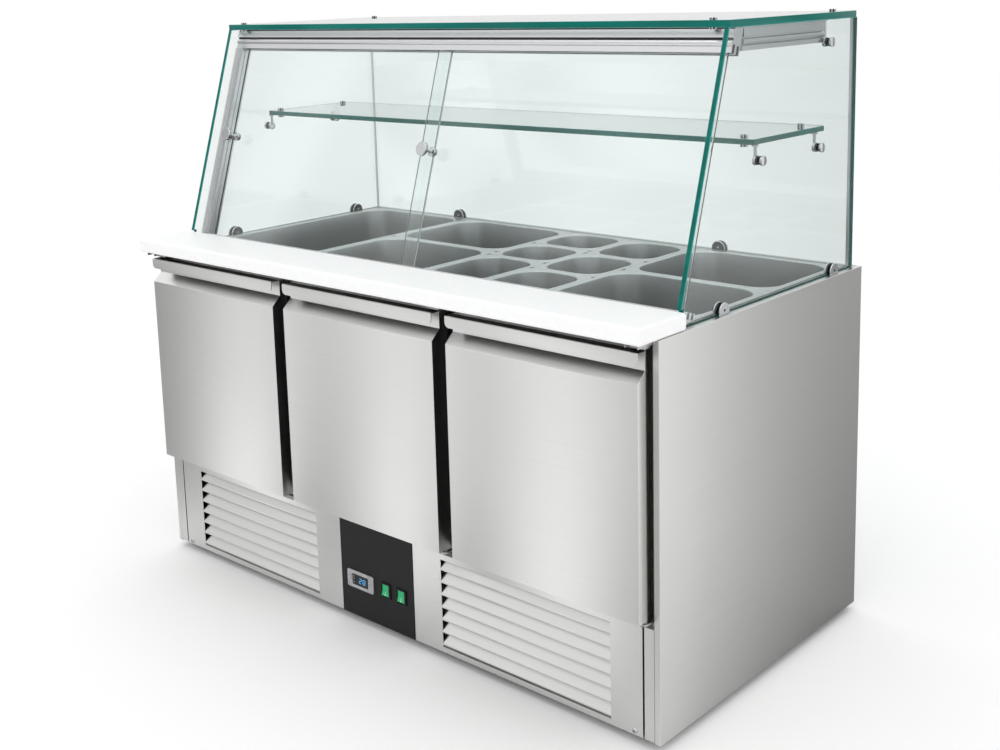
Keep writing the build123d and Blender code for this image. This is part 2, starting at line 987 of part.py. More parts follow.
# Pan well: deck plate, raised collar round the pans and two arms under the board
lip_x = pans_x + pan_gap + collar_lip
lip_y = (pans_front - pan_gap - collar_lip, pans_rear + pan_gap + collar_lip)
well_y = (well_front, cavity_rear)
with BuildPart() as pan_well_frame:
    block((-core_x, core_x), (front, rear), (deck_bottom, body_top))
    block((-lip_x, lip_x), lip_y, (body_top, seat_z + collar_height))
    block(
        (-pans_x - pan_gap, pans_x + pan_gap),
        (pans_front - pan_gap, pans_rear + pan_gap),
        (seat_z, seat_z + collar_height),
        mode=Mode.SUBTRACT,
    )
    block((-cavity_x, cavity_x), well_y, (deck_bottom, seat_z), mode=Mode.SUBTRACT)
    for side in (-1, 1):
        arm_far = core_x
        arm_near = core_x - board_arm_width
        arm_y = (board_front + side_flange, front)
        block(across(side, arm_near, arm_far), arm_y, (deck_bottom, body_top))
        for rib in (arm_near, arm_far - base_sheet):
            block(across(side, rib, rib + base_sheet), arm_y, (deck_bottom - board_arm_rib, deck_bottom))
pan_well_frame.part.label = "pan_well_frame"
export_step(pan_well_frame.part, "parts/pan_well_frame.step")

# Cutting board
with BuildPart() as cutting_board:
    block((-half_width, half_width), (board_front, board_rear), (body_top, board_top))
    fillet(cutting_board.edges(), radius=board_edge_radius)
cutting_board.part.label = "cutting_board"
export_step(cutting_board.part, "parts/cutting_board.step")

# Support bars between the columns of pans
column_edges = (-pans_x, -pans_x / 2, 0, pans_x / 4, pans_x / 2, pans_x)
with BuildPart() as pan_support_bars:
    for x in column_edges[1:-1]:
        block(about(x, bar_width / 2), well_y, (seat_z - bar_height, seat_z))
pan_support_bars.part.label = "pan_support_bars"
export_step(pan_support_bars.part, "parts/pan_support_bars.step")


def add_pan(x, y):
    """Add one tapered pan with a flat rim between its stations on X and Y."""
    centre = ((x[0] + x[1]) / 2, (y[0] + y[1]) / 2)
    size = (x[1] - x[0] - pan_gap, y[1] - y[0] - pan_gap)
    mouth = (size[0] - 2 * pan_rim, size[1] - 2 * pan_rim)
    corner = min(pan_corner, pan_corner_share * min(mouth))
    with BuildSketch(Plane.XY.offset(seat_z)) as rim:
        with Locations(centre):
            RectangleRounded(*size, pan_rim_radius)
    extrude(rim.sketch, amount=pan_rim_thickness)
    with BuildSketch(Plane.XY.offset(rim_z)) as bowl:
        with Locations(centre):
            RectangleRounded(*mouth, corner)
    extrude(bowl.sketch, amount=-pan_depth, taper=pan_taper)
    with BuildSketch(Plane.XY.offset(rim_z)) as hollow:
        with Locations(centre):
            RectangleRounded(mouth[0] - 2 * pan_wall, mouth[1] - 2 * pan_wall, corner - pan_wall)
    extrude(hollow.sketch, amount=pan_wall - pan_depth, taper=pan_taper, mode=Mode.SUBTRACT)


def column(index, lengths):
    """Give the stations of the pans in one column, front to rear."""
    stations = []
    start = pans_front
    for length in lengths:
        stations.append(((column_edges[index], column_edges[index + 1]), (start, start + length)))
        start += length
    return stations


half_length = pan_length / 2
third_length = pan_length / 3
short_length = (pan_length - long_pan_length) / 2
pan_nodes = {
    "pan_full": column(0, [pan_length]),
    "pans_half": column(1, [half_length] * 2) + column(4, [half_length] * 2),
    "pans_small": column(2, [long_pan_length, short_length, short_length]) + column(3, [third_length] * 3),
}
for pan_name, places in pan_nodes.items():
    with BuildPart() as pans:
        for place in places:
            add_pan(*place)
    pans.part.label = pan_name
    export_step(pans.part, f"parts/{pan_name}.step")

# Glass side panes and rear pane
support_z = case_shelf_bottom - support_drop
top_support_z = glass_top - top_support_drop
clamp_z = body_top + clamp_centre
side_clamp_ys = (nose_y + clamp_front_inset, rear_pane_front - clamp_rear_inset)
support_ys = (case_shelf_front + support_front_inset, case_shelf_rear - support_rear_inset)
top_support_y = rear_pane_front - top_support_inset
side_holes = [(y, clamp_z) for y in side_clamp_ys]
side_holes += [(y, support_z) for y in support_ys]
side_holes += [(top_support_y, top_support_z)]
pane_outline = (
    (nose_y + pane_step, pane_bottom),
    (nose_y + pane_step, nose_z),
    (nose_y, nose_z),
    (case_front_top, glass_top),
    (rear_pane_back, glass_top),
    (rear_pane_back, pane_bottom),
)
with BuildPart() as glass_walls:
    for side in (-1, 1):
        bar_x(pane_outline, across(side, pane_inner, pane_outer))
        for y, z in side_holes:
            rod(
                (side * pane_inner, y, z),
                (side, 0, 0),
                clamp_bolt + bolt_clearance,
                pane,
                mode=Mode.SUBTRACT,
            )
    block((-inside_x, inside_x), (rear_pane_front, rear_pane_back), (pane_bottom, glass_top))
    for side in (-1, 1):
        rod(
            (side * rear_clamp_x, rear_pane_front, clamp_z),
            (0, 1, 0),
            clamp_bolt + bolt_clearance,
            rear_pane,
            mode=Mode.SUBTRACT,
        )
glass_walls.part.label = "glass_walls"
export_step(glass_walls.part, "parts/glass_walls.step")


def stud_places(x, y_near, y_far):
    """Give the four places of the studs near the ends of a level pane."""
    return [(side * x, y) for side in (-1, 1) for y in (y_near, y_far)]


# Top pane and case shelf, bored for their studs
top_front = case_front_top - top_pane_overlap
top_studs = stud_places(
    pane_outer - top_stud_inset_x,
    top_front + stud_inset_y,
    rear_pane_front - stud_inset_y,
)
shelf_studs = stud_places(
    case_shelf_x - shelf_stud_inset_x,
    case_shelf_front + stud_inset_y,
    case_shelf_rear - shelf_stud_rear_inset,
)
level_panes = {
    "glass_top_pane": (pane_outer, (top_front, rear_pane_back), (glass_top, glass_top + top_pane), top_studs),
    "glass_shelf": (
        case_shelf_x,
        (case_shelf_front, case_shelf_rear),
        (case_shelf_bottom, case_shelf_top),
        shelf_studs,
    ),
}
for pane_name, (x_far, y, z, studs) in level_panes.items():
    with BuildPart() as level_pane:
        block((-x_far, x_far), y, z)
        fillet(level_pane.edges().filter_by(Axis.Z), radius=case_shelf_corner)
        for stud_x, stud_y in studs:
            rod((stud_x, stud_y, z[0]), (0, 0, 1), stud_bolt + seat_gap, z[1] - z[0], mode=Mode.SUBTRACT)
    level_pane.part.label = pane_name
    export_step(level_pane.part, f"parts/{pane_name}.step")

# Studs through the level panes: a pad on each face and a bolt between them
with BuildPart() as pane_connectors:
    for x_far, y, z, studs in level_panes.values():
        for stud_x, stud_y in studs:
            rod((stud_x, stud_y, z[0] - stud_height), (0, 0, 1), stud_radius, stud_height)
            rod((stud_x, stud_y, z[0]), (0, 0, 1), stud_bolt, z[1] - z[0])
            rod((stud_x, stud_y, z[1]), (0, 0, 1), stud_radius, stud_height)
pane_connectors.part.label = "pane_connectors"
export_step(pane_connectors.part, "parts/pane_connectors.step")


def disc_pair(place, direction, glass, radius, thickness):
    """Add two discs on a bolt, one on each side of a pane whose inner face is at the place."""
    start = Vector(*place)
    normal = Vector(*direction)
    inner = start - normal * (thickness + seat_gap)
    rod(inner, normal, radius, thickness)
    rod(start + normal * (glass + seat_gap), normal, radius, thickness)
    rod(inner, normal, clamp_bolt, 2 * thickness + glass)


# Half-round clamps that hold the panes on the deck
with BuildPart() as pane_clamps:
    for side in (-1, 1):
        for y in side_clamp_ys:
            disc_pair((side * pane_inner, y, clamp_z), (side, 0, 0), pane, clamp_radius, clamp_thickness)
        disc_pair(
            (side * rear_clamp_x, rear_pane_front, clamp_z),
            (0, 1, 0),
            rear_pane,
            clamp_radius,
            clamp_thickness,
        )
    block(
        (-half_width, half_width),
        (front, rear),
        (body_top - clamp_radius, body_top),
        mode=Mode.SUBTRACT,
    )
pane_clamps.part.label = "pane_clamps"
export_step(pane_clamps.part, "parts/pane_clamps.step")


def pane_support(side, y, z, carried_z):
    """Add a disc pair on a side pane with an upright to the pane that it carries."""
    disc_pair((side * pane_inner, y, z), (side, 0, 0), pane, support_radius, support_thickness)
    upright = (side * (pane_inner - upright_inset), y, z)
    rod(upright, (0, 0, 1), upright_radius, carried_z - z)
    pad = (upright[0], y, carried_z - upright_pad)
    rod(pad, (0, 0, 1), upright_pad_radius, upright_pad)


# Supports of the case shelf and of the top pane
with BuildPart() as shelf_supports:
    for side in (-1, 1):
        for y in support_ys:
            pane_support(side, y, support_z, case_shelf_bottom)
        pane_support(side, top_support_y, top_support_z, glass_top)
shelf_supports.part.label = "shelf_supports"
export_step(shelf_supports.part, "parts/shelf_supports.step")

# Top track of the sliding doors
rail_top = glass_top - seat_gap
tracks = (front_track, rear_track)
with BuildPart() as door_rail:
    rail_outline = (
        slanted(track_near, rail_bottom),
        slanted(track_far, rail_bottom),
        slanted_to(track_far, rail_top),
        slanted_to(track_near, rail_top),
    )
    bar_x(rail_outline, (-inside_x, inside_x))
    for track in tracks:
        rail_groove = (
            slanted(track - groove / 2, rail_bottom),
            slanted(track + groove / 2, rail_bottom),
            slanted(track + groove / 2, rail_bottom + rail_groove_depth),
            slanted(track - groove / 2, rail_bottom + rail_groove_depth),
        )
        bar_x(rail_groove, (-inside_x, inside_x), mode=Mode.SUBTRACT)
door_rail.part.label = "door_rail"
export_step(door_rail.part, "parts/door_rail.step")

# Bottom guide, slanted left end post, rear corner bars and side rails
collar_top = seat_z + collar_height
side_rail_front = slanted_to(track_far, rail_top)[0] + seat_gap
with BuildPart() as case_profiles:
    guide_outline = (
        slanted_to(track_near, body_top),
        slanted(track_near, 0),
        slanted(track_far, 0),
        slanted_to(track_far, body_top),
    )
    bar_x(guide_outline, (-inside_x, inside_x))
    for track in tracks:
        guide_groove = (
            slanted(track - groove / 2, -guide_groove_depth),
            slanted(track + groove / 2, -guide_groove_depth),
            slanted(track + groove / 2, 0),
            slanted(track - groove / 2, 0),
        )
        bar_x(guide_groove, (-inside_x, inside_x), mode=Mode.SUBTRACT)
    post_outline = (
        slanted(track_near, seat_gap),
        slanted(track_far, seat_gap),
        slanted(track_far, rail_bottom - seat_gap),
        slanted(track_near, rail_bottom - seat_gap),
    )
    bar_x(post_outline, (-inside_x, post_face - inside_x))
    channel = (
        slanted(track_near + post_wall, seat_gap),
        slanted(track_far - post_wall, seat_gap),
        slanted(track_far - post_wall, rail_bottom - seat_gap),
        slanted(track_near + post_wall, rail_bottom - seat_gap),
    )
    bar_x(channel, (post_wall - inside_x, post_face - inside_x), mode=Mode.SUBTRACT)
    for side in (-1, 1):
        block(
            across(side, inside_x - corner_bar, inside_x),
            (rear_pane_front - seat_gap - corner_bar, rear_pane_front - seat_gap),
            (collar_top + seat_gap, rail_top),
        )
        block(
            across(side, inside_x - side_rail_width, inside_x),
            (side_rail_front, top_support_y - support_radius - seat_gap),
            (rail_top - side_rail_height, rail_top),
        )
case_profiles.part.label = "case_profiles"
export_step(case_profiles.part, "parts/case_profiles.step")

# Sliding glass doors, each with a knob near its left edge
post_entry_x = inside_x - post_entry
sliding_doors = {
    "left": (rear_track, (-post_entry_x, left_door_right_edge)),
    "right": (front_track, (right_door_left_edge, post_entry_x)),
}
inward = Vector(0, cos(slant), -sin(slant))
for side_name, (track, stations) in sliding_doors.items():
    knob_x = stations[0] + knob_inset
    glass_front = Vector(knob_x, *slanted(track - door_glass / 2, knob_up))
    with BuildPart() as sliding_door:
        door_section = (
            slanted(track - door_glass / 2, seat_gap - guide_groove_depth),
            slanted(track + door_glass / 2, seat_gap - guide_groove_depth),
            slanted(track + door_glass / 2, rail_bottom + door_rail_entry),
            slanted(track - door_glass / 2, rail_bottom + door_rail_entry),
        )
        bar_x(door_section, stations)
        rod(glass_front, inward, knob_bolt + seat_gap, door_glass, mode=Mode.SUBTRACT)
    sliding_door.part.label = f"sliding_door_{side_name}"
    export_step(sliding_door.part, f"parts/sliding_door_{side_name}.step")

    with BuildPart() as knob:
        rod(glass_front, -inward, knob_base_radius, knob_base)
        rod(glass_front, -inward, knob_stem_radius, knob_base + knob_stem)
        rod(glass_front - inward * (knob_base + knob_stem), -inward, knob_radius, knob_disc)
        rod(glass_front, inward, knob_bolt, door_glass)
        rod(glass_front + inward * door_glass, inward, knob_nut_radius, knob_nut)
    knob.part.label = f"knob_{side_name}"
    export_step(knob.part, f"parts/knob_{side_name}.step")

# Compressor on rubber mounts
mount_top = base_top + mount_height
with BuildPart() as compressor:
    block(
        about(compressor_x, compressor_plate_x / 2),
        about(compressor_y, compressor_plate_y / 2),
        (mount_top, mount_top + compressor_plate),
    )
    with Locations((compressor_x, compressor_y, mount_top)):
        Cylinder(
            compressor_radius,
            compressor_height,
            align=(Align.CENTER, Align.CENTER, Align.MIN),
        )
    fillet(compressor.faces().sort_by(Axis.Z)[-1].edges(), radius=compressor_dome)
    with Locations((compressor_x, compressor_y, base_top)):
        with GridLocations(
            compressor_plate_x - 2 * mount_radius,
            compressor_plate_y - 2 * mount_radius,
            2,
            2,
        ):
            Cylinder(mount_radius, mount_height, align=(Align.CENTER, Align.CENTER, Align.MIN))
compressor.part.label = "compressor"
export_step(compressor.part, "parts/compressor.step")


def fin_block(x, y, z, count, header):
    """Add a finned coil: two headers, a thin core and a row of fins."""
    middle = ((x[0] + x[1]) / 2, (y[0] + y[1]) / 2)
    pitch = (x[1] - x[0] - header) / (count + 1)
    with BuildSketch(Plane.XY.offset(z[0])) as comb:
        with Locations(middle):
            Rectangle(x[1] - x[0], (y[1] - y[0]) * coil_core_share)
            with GridLocations(x[1] - x[0] - header, 0, 2, 1):
                Rectangle(header, y[1] - y[0])
            with GridLocations(pitch, 0, count, 1):
                Rectangle(coil_fin, y[1] - y[0])
    extrude(comb.sketch, amount=z[1] - z[0])


# Condenser behind the right louvres
with BuildPart() as condenser_coil:
    fin_block(
        about(coil_x, coil_width / 2),
        (coil_front, coil_front + coil_depth),
        (coil_bottom, coil_bottom + coil_height),
        coil_fin_count,
        coil_header,
    )
    for side in (-1, 1):
        block(
            about(coil_x + side * (coil_width - coil_header) / 2, coil_header / 2),
            (coil_front, coil_front + coil_depth),
            (base_top, coil_bottom),
        )
condenser_coil.part.label = "condenser_coil"
export_step(condenser_coil.part, "parts/condenser_coil.step")

# Fan shroud with the arms that carry the motor
shroud_y = coil_front + coil_depth
fan_z = coil_bottom + coil_height / 2
arm_y = shroud_y + shroud_ring
with BuildPart() as fan_shroud:
    block(
        about(coil_x, coil_width / 2),
        (shroud_y, shroud_y + shroud_sheet),
        (base_top, coil_bottom + coil_height),
    )
    rod((coil_x, shroud_y, fan_z), (0, 1, 0), shroud_radius + shroud_sheet, shroud_ring)
    rod((coil_x, shroud_y, fan_z), (0, 1, 0), shroud_radius, shroud_ring, mode=Mode.SUBTRACT)
    arm_reach = shroud_radius + shroud_sheet
    for x_half, z_half in ((arm_reach, shroud_arm / 2), (shroud_arm / 2, arm_reach)):
        block(about(coil_x, x_half), (arm_y, arm_y + shroud_sheet), about(fan_z, z_half))
    rod((coil_x, arm_y, fan_z), (0, 1, 0), shroud_hub_radius, shroud_sheet)
    rod(
        (coil_x, arm_y, fan_z),
        (0, 1, 0),
        shaft_radius + bolt_clearance,
        shroud_sheet,
        mode=Mode.SUBTRACT,
    )
fan_shroud.part.label = "fan_shroud"
export_step(fan_shroud.part, "parts/fan_shroud.step")

# Fan motor with its shaft
fan_y = shroud_y + fan_offset
with BuildPart() as fan_motor:
    rod((coil_x, arm_y + shroud_sheet, fan_z), (0, 1, 0), motor_radius, motor_length)
    rod((coil_x, fan_y, fan_z), (0, 1, 0), shaft_radius, arm_y + shroud_sheet - fan_y)
fan_motor.part.label = "fan_motor"
export_step(fan_motor.part, "parts/fan_motor.step")

# Fan: hub and pitched blades
blade_reach = fan_radius - fan_hub_radius / 2
with BuildPart() as fan_blade:
    rod((coil_x, fan_y, fan_z), (0, 1, 0), fan_hub_radius, fan_hub_length)
    blade_plane = Plane(
        origin=(coil_x, fan_y + fan_hub_length / 2, fan_z),
        x_dir=(1, 0, 0),
        z_dir=(0, 1, 0),
    )
    with Locations(blade_plane):
        with PolarLocations((fan_hub_radius / 2 + fan_radius) / 2, fan_blade_count):
            Box(blade_reach, fan_blade_chord, fan_blade_thickness, rotation=(fan_blade_pitch, 0, 0))
    rod(
        (coil_x, fan_y, fan_z),
        (0, 1, 0),
        shaft_radius + shaft_clearance,
        fan_hub_length,
        mode=Mode.SUBTRACT,
    )
fan_blade.part.label = "fan_blade"
export_step(fan_blade.part, "parts/fan_blade.step")

# Refrigerant lines: compressor to condenser, and compressor up to the evaporator
line_z = mount_top + compressor_height / 2
with BuildPart() as refrigerant_lines:
    with BuildLine() as suction_path:
        FilletPolyline(
            (compressor_x, compressor_y + compressor_radius, line_z),
            (compressor_x, pipe_y, line_z),
            (pipe_x, pipe_y, line_z),
            (pipe_x, pipe_y, evaporator_bottom),
            radius=pipe_bend,
        )
    with BuildSketch(Plane(origin=suction_path.line @ 0, z_dir=suction_path.line % 0)):
        Circle(pipe_radius)
    sweep(path=suction_path.line)
    with BuildLine() as hot_path:
        FilletPolyline(
            (compressor_x, compressor_y - compressor_radius, line_z),
            (compressor_x, coil_front + coil_depth / 2, line_z),
            (coil_x + coil_width / 2, coil_front + coil_depth / 2, line_z),
            radius=pipe_bend,
        )
    with BuildSketch(Plane(origin=hot_path.line @ 0, z_dir=hot_path.line % 0)):
        Circle(pipe_radius)
    sweep(path=hot_path.line)
refrigerant_lines.part.label = "refrigerant_lines"
export_step(refrigerant_lines.part, "parts/refrigerant_lines.step")

# Evaporator on the rear wall of the cavity
with BuildPart() as evaporator_coil:
    fin_block(
        (-evaporator_half_width, pipe_x + evaporator_end),
        (cavity_rear - evaporator_depth, cavity_rear),
        (evaporator_bottom, evaporator_bottom + evaporator_height),
        evaporator_fin_count,
        evaporator_header,
    )
evaporator_coil.part.label = "evaporator_coil"
export_step(evaporator_coil.part, "parts/evaporator_coil.step")

# Tray for the defrost water
with BuildPart() as drip_tray:
    block(
        about(tray_x, tray_length / 2),
        about(tray_y, tray_depth / 2),
        (base_top, base_top + tray_height),
    )
    block(
        about(tray_x, tray_length / 2 - sheet),
        about(tray_y, tray_depth / 2 - sheet),
        (base_top + sheet, base_top + tray_height),
        mode=Mode.SUBTRACT,
    )
drip_tray.part.label = "drip_tray"
export_step(drip_tray.part, "parts/drip_tray.step")

# Shelf runners: uprights behind the mullions with ledges, and ledges on the side walls
runner_rear = cavity_rear - evaporator_depth - shelf_side_gap
runner_y = (frame_rear + shelf_front_gap, runner_rear)
shelf_depth = runner_y[1] - runner_y[0]
ledge_z = (shelf_level - runner_sheet, shelf_level)
with BuildPart() as shelf_runners:
    for side in (-1, 1):
        block(across(side, cavity_x - runner_width, cavity_x), runner_y, ledge_z)
        block(
            across(side, cavity_x - runner_sheet, cavity_x),
            runner_y,
            (shelf_level, shelf_level + runner_width),
        )
        block(about(side * mullion_x, upright_size / 2 + runner_width), runner_y, ledge_z)
        for y in ((runner_y[0], runner_y[0] + upright_size), (runner_y[1] - upright_size, runner_y[1])):
            block(about(side * mullion_x, upright_size / 2), y, (cavity_floor, shelf_level + runner_width))
shelf_runners.part.label = "shelf_runners"
export_step(shelf_runners.part, "parts/shelf_runners.step")

# Wire shelves, one behind each door
upright_far = mullion_x + upright_size / 2 + shelf_side_gap
upright_close = mullion_x - upright_size / 2 - shelf_side_gap
wall_far = cavity_x - runner_sheet - shelf_side_gap
bays = ((-wall_far, -upright_far), (-upright_close, upright_close), (upright_far, wall_far))
wire_z = shelf_level + shelf_rim_wire
with BuildPart() as wire_shelves:
    for bay in bays:
        rim = shelf_rim_wire + shelf_wire_overrun
        x = (bay[0] + rim, bay[1] - rim)
        y = (runner_y[0] + rim, runner_y[1] - rim)
        for side_x in x:
            rod((side_x, runner_y[0], wire_z), (0, 1, 0), shelf_rim_wire, shelf_depth)
        for side_y in y:
            rod((bay[0], side_y, wire_z), (1, 0, 0), shelf_cross_wire, bay[1] - bay[0])
        pitch = (x[1] - x[0]) / (shelf_wire_count + 1)
        middle = ((x[0] + x[1]) / 2, y[0], wire_z)
        with Locations(Plane(origin=middle, x_dir=(1, 0, 0), z_dir=(0, 1, 0))):
            with GridLocations(pitch, 0, shelf_wire_count, 1):
                Cylinder(shelf_wire, y[1] - y[0], align=(Align.CENTER, Align.CENTER, Align.MIN))
wire_shelves.part.label = "wire_shelves"
export_step(wire_shelves.part, "parts/wire_shelves.step")
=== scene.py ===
from math import cos, pi, radians, sin

import bmesh
import bpy
import numpy as np
from mathutils import Matrix, Vector


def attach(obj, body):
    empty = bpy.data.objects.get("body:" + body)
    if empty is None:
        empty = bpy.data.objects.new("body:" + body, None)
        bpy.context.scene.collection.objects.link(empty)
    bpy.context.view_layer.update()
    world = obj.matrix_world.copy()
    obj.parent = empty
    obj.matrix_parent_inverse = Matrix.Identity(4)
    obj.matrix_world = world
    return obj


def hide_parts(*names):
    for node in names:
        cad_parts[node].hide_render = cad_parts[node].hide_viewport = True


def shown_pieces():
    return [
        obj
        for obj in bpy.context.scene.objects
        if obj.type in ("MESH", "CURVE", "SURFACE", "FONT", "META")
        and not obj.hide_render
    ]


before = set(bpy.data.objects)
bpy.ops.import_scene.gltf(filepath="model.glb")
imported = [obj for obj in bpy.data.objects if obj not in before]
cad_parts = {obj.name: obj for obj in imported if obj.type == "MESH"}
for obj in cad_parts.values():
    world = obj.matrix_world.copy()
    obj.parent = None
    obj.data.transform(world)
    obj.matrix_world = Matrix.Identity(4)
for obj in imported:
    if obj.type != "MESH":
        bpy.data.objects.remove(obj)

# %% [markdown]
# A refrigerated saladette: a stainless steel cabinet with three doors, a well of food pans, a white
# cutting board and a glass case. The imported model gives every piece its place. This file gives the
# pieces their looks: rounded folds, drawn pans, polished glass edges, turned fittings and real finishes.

scene = bpy.context.scene
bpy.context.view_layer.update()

# %% [markdown]
# The camera stands in front of the right corner, a little above the case. Its place, turn and lens were
# worked out from the straight edges of the cabinet. The lens axis isn't at the middle of the picture, so
# the camera has a small shift in both directions.

# %% Camera
yaw, pitch, roll = 0.764, 0.178, -0.034
focal_px = 1329.968
axis_px = (440.806, 228.01)
picture_px = (1000, 750)
sensor = 36
forward = Vector((-sin(yaw) * cos(pitch), cos(yaw) * cos(pitch), -sin(pitch)))
level_right = Vector((cos(yaw), sin(yaw), 0))
level_up = level_right.cross(forward)
right = level_right * cos(roll) + level_up * sin(roll)
up = level_up * cos(roll) - level_right * sin(roll)
camera = bpy.data.objects.new("camera", bpy.data.cameras.new("camera"))
camera.matrix_world = Matrix((right, up, -forward)).transposed().to_4x4()
camera.location = (1.8520, -2.0352, 1.2825)
camera.data.sensor_width = sensor
camera.data.lens = sensor * focal_px / picture_px[0]
camera.data.shift_x = 0.5 - axis_px[0] / picture_px[0]
camera.data.shift_y = (axis_px[1] - picture_px[1] / 2) / picture_px[0]
camera.data.clip_start = 0.05
scene.collection.objects.link(camera)
scene.camera = camera
print("camera with a", round(camera.data.lens, 1), "mm lens")

# %% [markdown]
# Every finish is a node material. Colours are written as the sRGB hex values that a colour card shows,
# and one function turns them to the linear values that Blender works in. A second one adds a node, sets
# it and links it, so each material reads from the pattern to the shader.

# %% Colour and node helpers


def linear(code):
    """Turn an sRGB hex colour to linear RGBA: c / 12.92 when dark, else ((c + 0.055) / 1.055) ** 2.4."""
    c = np.array([int(code[i : i + 2], 16) for i in (1, 3, 5)]) / 255
    return (*np.where(c <= 0.04045, c / 12.92, ((c + 0.055) / 1.055) ** 2.4), 1.0)


def add(tree, kind, inputs=None, **settings):
    """Add a node, set its settings, and give each input a value or a link from an output."""
    node = tree.nodes.new("ShaderNode" + kind)
    for name, value in settings.items():
        setattr(node, name, value)
    for name, value in (inputs or {}).items():
        if isinstance(value, bpy.types.NodeSocket):
            tree.links.new(value, node.inputs[name])
        else:
            node.inputs[name].default_value = value
    return node


def blank(name):
    """Start a material with no nodes and give its tree and its Object coordinates."""
    made = bpy.data.materials.new(name)
    made.use_nodes = True
    made.node_tree.nodes.clear()
    coords = add(made.node_tree, "TexCoord").outputs["Object"]
    return made, made.node_tree, coords


def speckled(tree, coords, scale, low, high, detail=2.0):
    """Noise on stretched coordinates, mapped to a range: low + (high - low) * noise."""
    stretched = add(tree, "VectorMath", {0: coords, 1: scale}, operation="MULTIPLY").outputs[0]
    noise = add(tree, "TexNoise", {"Vector": stretched, "Scale": 1.0, "Detail": detail}).outputs[0]
    spread = {"Value": noise, "From Min": 0.3, "From Max": 0.7, "To Min": low, "To Max": high}
    return add(tree, "MapRange", spread).outputs[0]


print("the middle grey #808080 is", round(linear("#808080")[0], 3), "in linear light")

# %% [markdown]
# Stainless steel of such cabinets is brushed along the sheet, so its lines run level. They blur what it
# mirrors up and down more than sideways: the shader's anisotropy does that, with an upright tangent. The
# real lines are 0.1 mm apart and don't show at this distance, so they are drawn about 1.5 mm apart and
# faint. A slow cloud 0.4 m across is the slight unevenness of rolled sheet. Drawn pans are an even satin,
# plated and galvanised parts have a coarser and duller grain, and turned fittings are nearly mirrors.

# %% Brushed, drawn and cast metals


def even(grains):
    """Give the same number of grains to the metre in every direction."""
    return (grains, grains, grains)


def metal(name, code, roughness, lines, contrast=0.02, stretch=0.0, relief=0.006):
    """Make a metal whose tone, roughness and relief follow fine lines and a slow cloud."""
    made, tree, coords = blank(name)
    fine = speckled(tree, coords, lines, 1 - contrast, 1 + contrast)
    slow = speckled(tree, coords, even(2.5), 1 - cloud, 1 + cloud)
    tone = add(tree, "Math", {0: fine, 1: slow}, operation="MULTIPLY").outputs[0]
    colour = add(tree, "VectorMath", {0: linear(code)[:3], "Scale": tone}, operation="SCALE").outputs[0]
    rough = add(tree, "Math", {0: fine, 1: roughness}, operation="MULTIPLY").outputs[0]
    bump = add(tree, "Bump", {"Height": fine, "Strength": relief, "Distance": 0.001}).outputs[0]
    upright = add(tree, "CombineXYZ", {"X": 0.02, "Y": 0.05, "Z": 1.0}).outputs[0]
    shader = {"Base Color": colour, "Metallic": 1.0, "Roughness": rough, "Normal": bump}
    shader |= {"Anisotropic": stretch, "Tangent": upright}
    surface = add(tree, "BsdfPrincipled", shader).outputs[0]
    add(tree, "OutputMaterial", {"Surface": surface})
    return made


cloud = 0.02
sheet_lines, deck_lines = (3.0, 3.0, 650.0), (3.0, 650.0, 3.0)
extruded_lines, fin_lines = (3.0, 400.0, 400.0), (500.0, 3.0, 3.0)
brushed_steel = metal("brushed stainless steel", "#DADAD8", 0.28, sheet_lines, stretch=0.85)
# The deck is the brushed steel made darker: a painted shade on the up-facing deck.
shaded_deck_steel = metal("brushed stainless steel deck in painted shade", "#BDBEBD", 0.32, deck_lines, stretch=0.3)
drawn_steel = metal("deep drawn stainless steel", "#BEC0C0", 0.30, even(9.0), relief=0.0005)
# Dark steel for painted shade: the undersides of the louvre slats and the pan bars seen in the seams.
painted_shade_steel = metal("dark steel for painted shade", "#3C3D3E", 0.5, even(40.0))
plated_steel = metal("zinc plated steel", "#B9BBBC", 0.36, even(40.0), contrast=0.06)
galvanised = metal("galvanised steel", "#B4B8BA", 0.42, even(30.0), contrast=0.14)
anodised = metal("anodised aluminium", "#DCDCDE", 0.28, extruded_lines, contrast=0.012, stretch=0.3)
chrome = metal("satin chrome", "#CACCCE", 0.10, even(200.0))
fins = metal("aluminium fins", "#C3C6C8", 0.35, fin_lines, contrast=0.15)
copper = metal("drawn copper", "#C27A55", 0.28, even(25.0), contrast=0.12)
print(len(bpy.data.materials), "metals")

# %% [markdown]
# Float glass is clear across and deep green along its edge, because there light comes a long way through
# it. The faces are a clear shader that lets lamps through, so that the pans under the case are lit. The
# ground and polished edges are a dark sea green, with a lighter arris on each side that catches light. The
# sliding doors are of clearer glass, so their edges are pale between thin grey lines.

# %% Glass


def clear_glass(name, code):
    """Make glass that bends and mirrors what is seen, and lets the light of lamps straight through."""
    made, tree, coords = blank(name)
    smear = speckled(tree, coords, even(6.0), 0.0, 0.012)
    shader = {"Base Color": linear(code), "Roughness": smear, "IOR": 1.5}
    shader |= {"Transmission Weight": 1.0, "Specular IOR Level": 0.35}
    glass = add(tree, "BsdfPrincipled", shader).outputs[0]
    through = add(tree, "BsdfTransparent", {"Color": linear(code)}).outputs[0]
    lamp = add(tree, "LightPath").outputs["Is Shadow Ray"]
    surface = add(tree, "MixShader", {0: lamp, 1: glass, 2: through}).outputs[0]
    add(tree, "OutputMaterial", {"Surface": surface})
    return made


